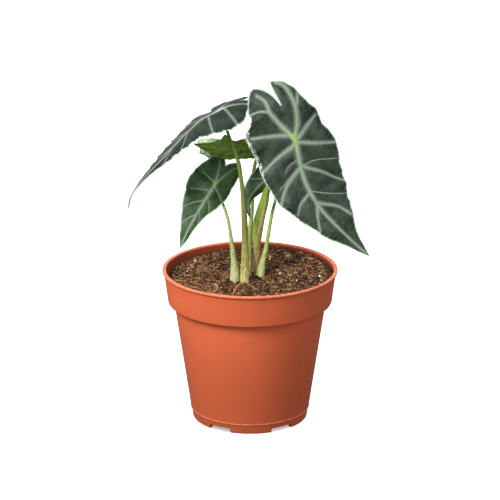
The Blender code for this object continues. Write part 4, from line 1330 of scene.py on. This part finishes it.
class ALOCASIA_OT_leaves(bpy.types.Operator):
    """Shape the six leaves, with quilted panels, ribs below and silver veins above"""
    bl_idname = "alocasia.leaves"
    bl_label = "Leaves"
    bl_options = {"REGISTER", "UNDO"}

    def execute(self, context):
        sizes = context.scene.alocasia_plant
        dark = blade_finish("dark blade", sizes, sizes.blade, sizes.silver, sizes.fresh, 0.40)
        young = blade_finish("green blade", sizes, sizes.young, sizes.silver, sizes.fresh, 0.44)
        grey = blade_finish("grey blade", sizes, finish_tint(sizes.blade, 0.7, 0.0), sizes.silver,
                            finish_tint(sizes.silver, 1.3, 0.0), 0.40)
        # Painted sheen: the back leaf's pale green blade with darker veins stands in for light
        # glancing off its glossy upper face.
        pale = blade_finish("pale blade with painted sheen", sizes, finish_tint(sizes.fresh, 1.15, 0.15),
                            finish_tint(sizes.blade, 1.8, 0.0), sizes.fresh, 0.42)
        under = under_finish("blade underside", sizes.under, sizes.purple,
                             finish_tint(sizes.under, 2.1, 0.1))
        rim = margin_finish("blade rim", finish_tint(sizes.silver, 1.3, 0.2),
                            finish_tint(sizes.silver, 0.55, 0.0))
        brown_rim = margin_finish("olive blade rim", sizes.under, sizes.purple)
        build_blade("right", sizes, [dark, under, rim])
        build_blade("left", sizes, [grey, under, rim])
        for name in ("low", "small"):
            build_blade(name, sizes, [young, under, rim])
        build_blade("olive", sizes, [young, under, brown_rim])
        build_blade("back", sizes, [pale, under, rim])
        return {"FINISHED"}


class ALOCASIA_OT_stems(bpy.types.Operator):
    """Raise the six stalks from the soil to their leaves"""
    bl_idname = "alocasia.stems"
    bl_label = "Stems"
    bl_options = {"REGISTER", "UNDO"}

    def execute(self, context):
        sizes = context.scene.alocasia_plant
        finish = skin_finish("stem skin", sizes.brown)
        for name in STEMS:
            build_stem(name, sizes, finish)
        return {"FINISHED"}


class ALOCASIA_OT_sheaths(bpy.types.Operator):
    """Wrap the fresh sheath and the withered one round the right stem"""
    bl_idname = "alocasia.sheaths"
    bl_label = "Sheaths"
    bl_options = {"REGISTER", "UNDO"}

    def execute(self, context):
        sizes = context.scene.alocasia_plant
        fresh = skin_finish("fresh sheath", finish_tint(sizes.brown, 1.0, 0.0))
        route = beside_stem("right", (20, 30, 38, 46, 54, 61, 66), -75.0,
                            (0.2, 0.9, 1.3, 1.2, 0.8, 0.3, -0.3))
        line = smooth_curve(route, 40)
        share = np.linspace(0.0, 1.0, 40)
        widths = 0.25 + 1.55 * np.sin(np.pi * np.clip(share * 0.92 + 0.06, 0, 1)) ** 0.8
        points, faces, _ = ribbon(line, widths, (-0.45, -0.75, 0.2), 0.7, 0.35)
        height = (points[:, 2] - SOIL_TOP - 20.0) / 46.0
        tint = np.outer(1 - height, (0.28, 0.34, 0.08)) + np.outer(height, (0.11, 0.24, 0.015))
        sheath = add_piece("green_sheath_edge", points, faces, [fresh],
                           {"tint": np.clip(tint, 0, 1), "mottle": np.full(len(points), 0.15),
                            "chalk": np.zeros(len(points))}, sharp=50.0)
        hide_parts("green_sheath")
        dry = fibre_finish("withered sheath", (0.20, 0.075, 0.030), (0.50, 0.30, 0.14), 500.0)
        route = beside_stem("right", (-1, 3.5, 8, 13, 18, 21), 35.0,
                            (0.5, 0.6, 0.7, 0.5, 0.4, 0.9))
        line = smooth_curve(route, 30)
        share = np.linspace(0.0, 1.0, 30)
        widths = 1.7 * (1.0 - share ** 3) + 0.25 + 0.25 * np.sin(share * 19.0)
        points, faces, flat = ribbon(line, widths, (0.4, -0.9, 0.1), 0.45, -0.45)
        old = add_piece("dry_sheath_strip", points, faces, [dry],
                        {"flat": flat}, sharp=50.0)
        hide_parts("dry_sheath")
        return {"FINISHED"}


class ALOCASIA_OT_bark(bpy.types.Operator):
    """Lay the curled bark strips on the soil"""
    bl_idname = "alocasia.bark"
    bl_label = "Bark strips"
    bl_options = {"REGISTER", "UNDO"}

    def execute(self, context):
        finish = fibre_finish("curled bark", (0.13, 0.045, 0.020), (0.42, 0.20, 0.10), 600.0)
        for name, strip in BARK_STRIPS.items():
            plan = smooth_curve(strip, 36)
            height = bed_height(plan[:, 0], plan[:, 1])
            height = np.convolve(np.pad(height, 4, "edge"), np.ones(9) / 9, "valid")
            share = np.linspace(0.0, 1.0, 36)
            line = np.column_stack([plan, height + 1.1 + 0.4 * np.sin(share * 3.1)])
            widths = 0.85 + 0.15 * np.sin(share * 11.0) - 0.35 * share ** 4
            points, faces, flat = ribbon(line, widths, (0.25, -0.3, 0.9), 0.5, -0.7)
            piece = add_piece("bark_strip_" + name, points, faces, [finish],
                              {"flat": flat}, sharp=50.0)
            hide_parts("bark_" + name)
        return {"FINISHED"}


AIM_SHARE = 0.4928  # height that the camera looks at, over the whole height


class ALOCASIA_OT_studio(bpy.types.Operator):
    """Set the pale floor, the soft lights and the camera"""
    bl_idname = "alocasia.studio"
    bl_label = "Studio"
    bl_options = {"REGISTER", "UNDO"}

    def execute(self, context):
        studio = context.scene.alocasia_studio
        scene = context.scene
        floor = self.add_floor(scene, studio)
        self.light_room(scene)
        middle = Vector((0.0, 0.0, CAD_BOX[1][2] * AIM_SHARE))
        key = self.add_lamp(scene, "key panel", "AREA", studio.key, (-0.47, -0.50, 0.70), middle)
        key.data.size = 0.36
        front = self.add_lamp(scene, "front panel", "AREA", studio.front, (0.1, -1.5, 1.0),
                              middle)
        front.data.size = 1.0
        board = self.add_lamp(scene, "board sun", "SUN", studio.board, (0.0, 0.0, 3.0), middle)
        wash = self.add_lamp(scene, "board wash", "SUN", studio.wash, (0.0, 0.0, 2.5), middle)
        only_floor = bpy.data.collections.new("floor only")
        only_floor.objects.link(floor)
        for lamp in (board, wash):
            lamp.data.angle = math.radians(120.0)
            lamp.light_linking.receiver_collection = only_floor
        wash.light_linking.blocker_collection = only_floor
        not_floor = bpy.data.collections.new("all but the floor")
        not_floor.objects.link(floor)
        not_floor.collection_objects[0].light_linking.link_state = "EXCLUDE"
        for lamp in (key, front):
            lamp.light_linking.receiver_collection = not_floor
        lens = bpy.data.cameras.new("camera")
        lens.lens = studio.lens
        lens.sensor_width = 36.0
        lens.clip_end = 50.0
        camera = bpy.data.objects.new("camera", lens)
        back = Vector((0.0, -math.cos(studio.elevation), math.sin(studio.elevation)))
        camera.location = middle + back * studio.distance
        camera.rotation_euler = back.to_track_quat("Z", "Y").to_euler()
        scene.collection.objects.link(camera)
        scene.camera = camera
        scene.view_settings.view_transform = "Standard"
        return {"FINISHED"}

    def add_floor(self, scene, studio):
        """A wide pale board that takes shadows and throws no light back on the pot."""
        mesh = bpy.data.meshes.new("floor")
        reach = 40.0
        mesh.from_pydata([(-reach, -reach, 0), (reach, -reach, 0), (reach, reach, 0),
                          (-reach, reach, 0)], [], [(0, 1, 2, 3)])
        mesh.materials.append(floor_finish("seamless board", studio.floor))
        floor = bpy.data.objects.new("floor", mesh)
        floor.visible_diffuse = False
        floor.visible_glossy = False
        scene.collection.objects.link(floor)
        return floor

    def light_room(self, scene):
        """An even white room: bright round the horizon, dimmer above and dim below."""
        world = bpy.data.worlds.new("room")
        world.use_nodes = True
        tree = world.node_tree
        backdrop = tree.nodes["Background"]
        backdrop.inputs["Color"].default_value = (1.0, 1.0, 1.0, 1.0)
        place = tree.nodes.new("ShaderNodeTexCoord")
        split = tree.nodes.new("ShaderNodeSeparateXYZ")
        bands = tree.nodes.new("ShaderNodeFloatCurve")
        shift = tree.nodes.new("ShaderNodeMath")
        shift.operation = "MULTIPLY_ADD"
        shift.inputs[1].default_value = 0.5
        shift.inputs[2].default_value = 0.5
        curve = bands.mapping.curves[0]
        levels = ((0.0, 0.16), (0.40, 0.26), (0.48, 1.2), (0.60, 1.2), (0.75, 0.8), (1.0, 0.8))
        curve.points[0].location = levels[0]
        curve.points[1].location = levels[-1]
        for level in levels[1:-1]:
            curve.points.new(*level)
        bands.mapping.update()
        tree.links.new(place.outputs["Generated"], split.inputs[0])
        tree.links.new(split.outputs["Z"], shift.inputs[0])
        tree.links.new(shift.outputs[0], bands.inputs["Value"])
        tree.links.new(bands.outputs[0], backdrop.inputs["Strength"])
        scene.world = world

    def add_lamp(self, scene, name, kind, power, place, middle):
        """A lamp that faces the plant."""
        light = bpy.data.lights.new(name, kind)
        light.energy = power
        lamp = bpy.data.objects.new(name, light)
        lamp.location = place
        lamp.rotation_euler = (Vector(place) - middle).to_track_quat("Z", "Y").to_euler()
        scene.collection.objects.link(lamp)
        return lamp


class ALOCASIA_PT_parts(bpy.types.Panel):
    """Lists the plant's parts and their sizes"""
    bl_idname = "ALOCASIA_PT_parts"
    bl_label = "Potted Alocasia"
    bl_space_type = "VIEW_3D"
    bl_region_type = "UI"
    bl_category = "Alocasia"

    def draw(self, context):
        layout = self.layout
        for operator in OPERATORS:
            layout.operator(operator.bl_idname)
        for label, group in GROUPS.items():
            box = layout.box()
            box.label(text=group.__doc__)
            settings = getattr(context.scene, label)
            for key in group.__annotations__:
                box.prop(settings, key)


OPERATORS = (ALOCASIA_OT_pot, ALOCASIA_OT_mix, ALOCASIA_OT_leaves, ALOCASIA_OT_stems,
             ALOCASIA_OT_sheaths, ALOCASIA_OT_bark, ALOCASIA_OT_studio)
GROUPS = {"alocasia_pot": PotSizes, "alocasia_plant": PlantSizes, "alocasia_mix": MixSizes,
          "alocasia_studio": StudioSizes}


def register():
    """Make the settings, operators and panel known to Blender."""
    for group in GROUPS.values():
        bpy.utils.register_class(group)
    for label, group in GROUPS.items():
        setattr(bpy.types.Scene, label, PointerProperty(type=group))
    for operator in OPERATORS:
        bpy.utils.register_class(operator)
    bpy.utils.register_class(ALOCASIA_PT_parts)


def unregister():
    """Remove what register added."""
    bpy.utils.unregister_class(ALOCASIA_PT_parts)
    for operator in reversed(OPERATORS):
        bpy.utils.unregister_class(operator)
    for label, group in GROUPS.items():
        delattr(bpy.types.Scene, label)
        bpy.utils.unregister_class(group)


def main():
    """Register the add-on and build every part in order."""
    register()
    bpy.ops.alocasia.pot()
    bpy.ops.alocasia.mix()
    bpy.ops.alocasia.leaves()
    bpy.ops.alocasia.stems()
    bpy.ops.alocasia.sheaths()
    bpy.ops.alocasia.bark()
    bpy.ops.alocasia.studio()


if __name__ == "__main__":
    main()
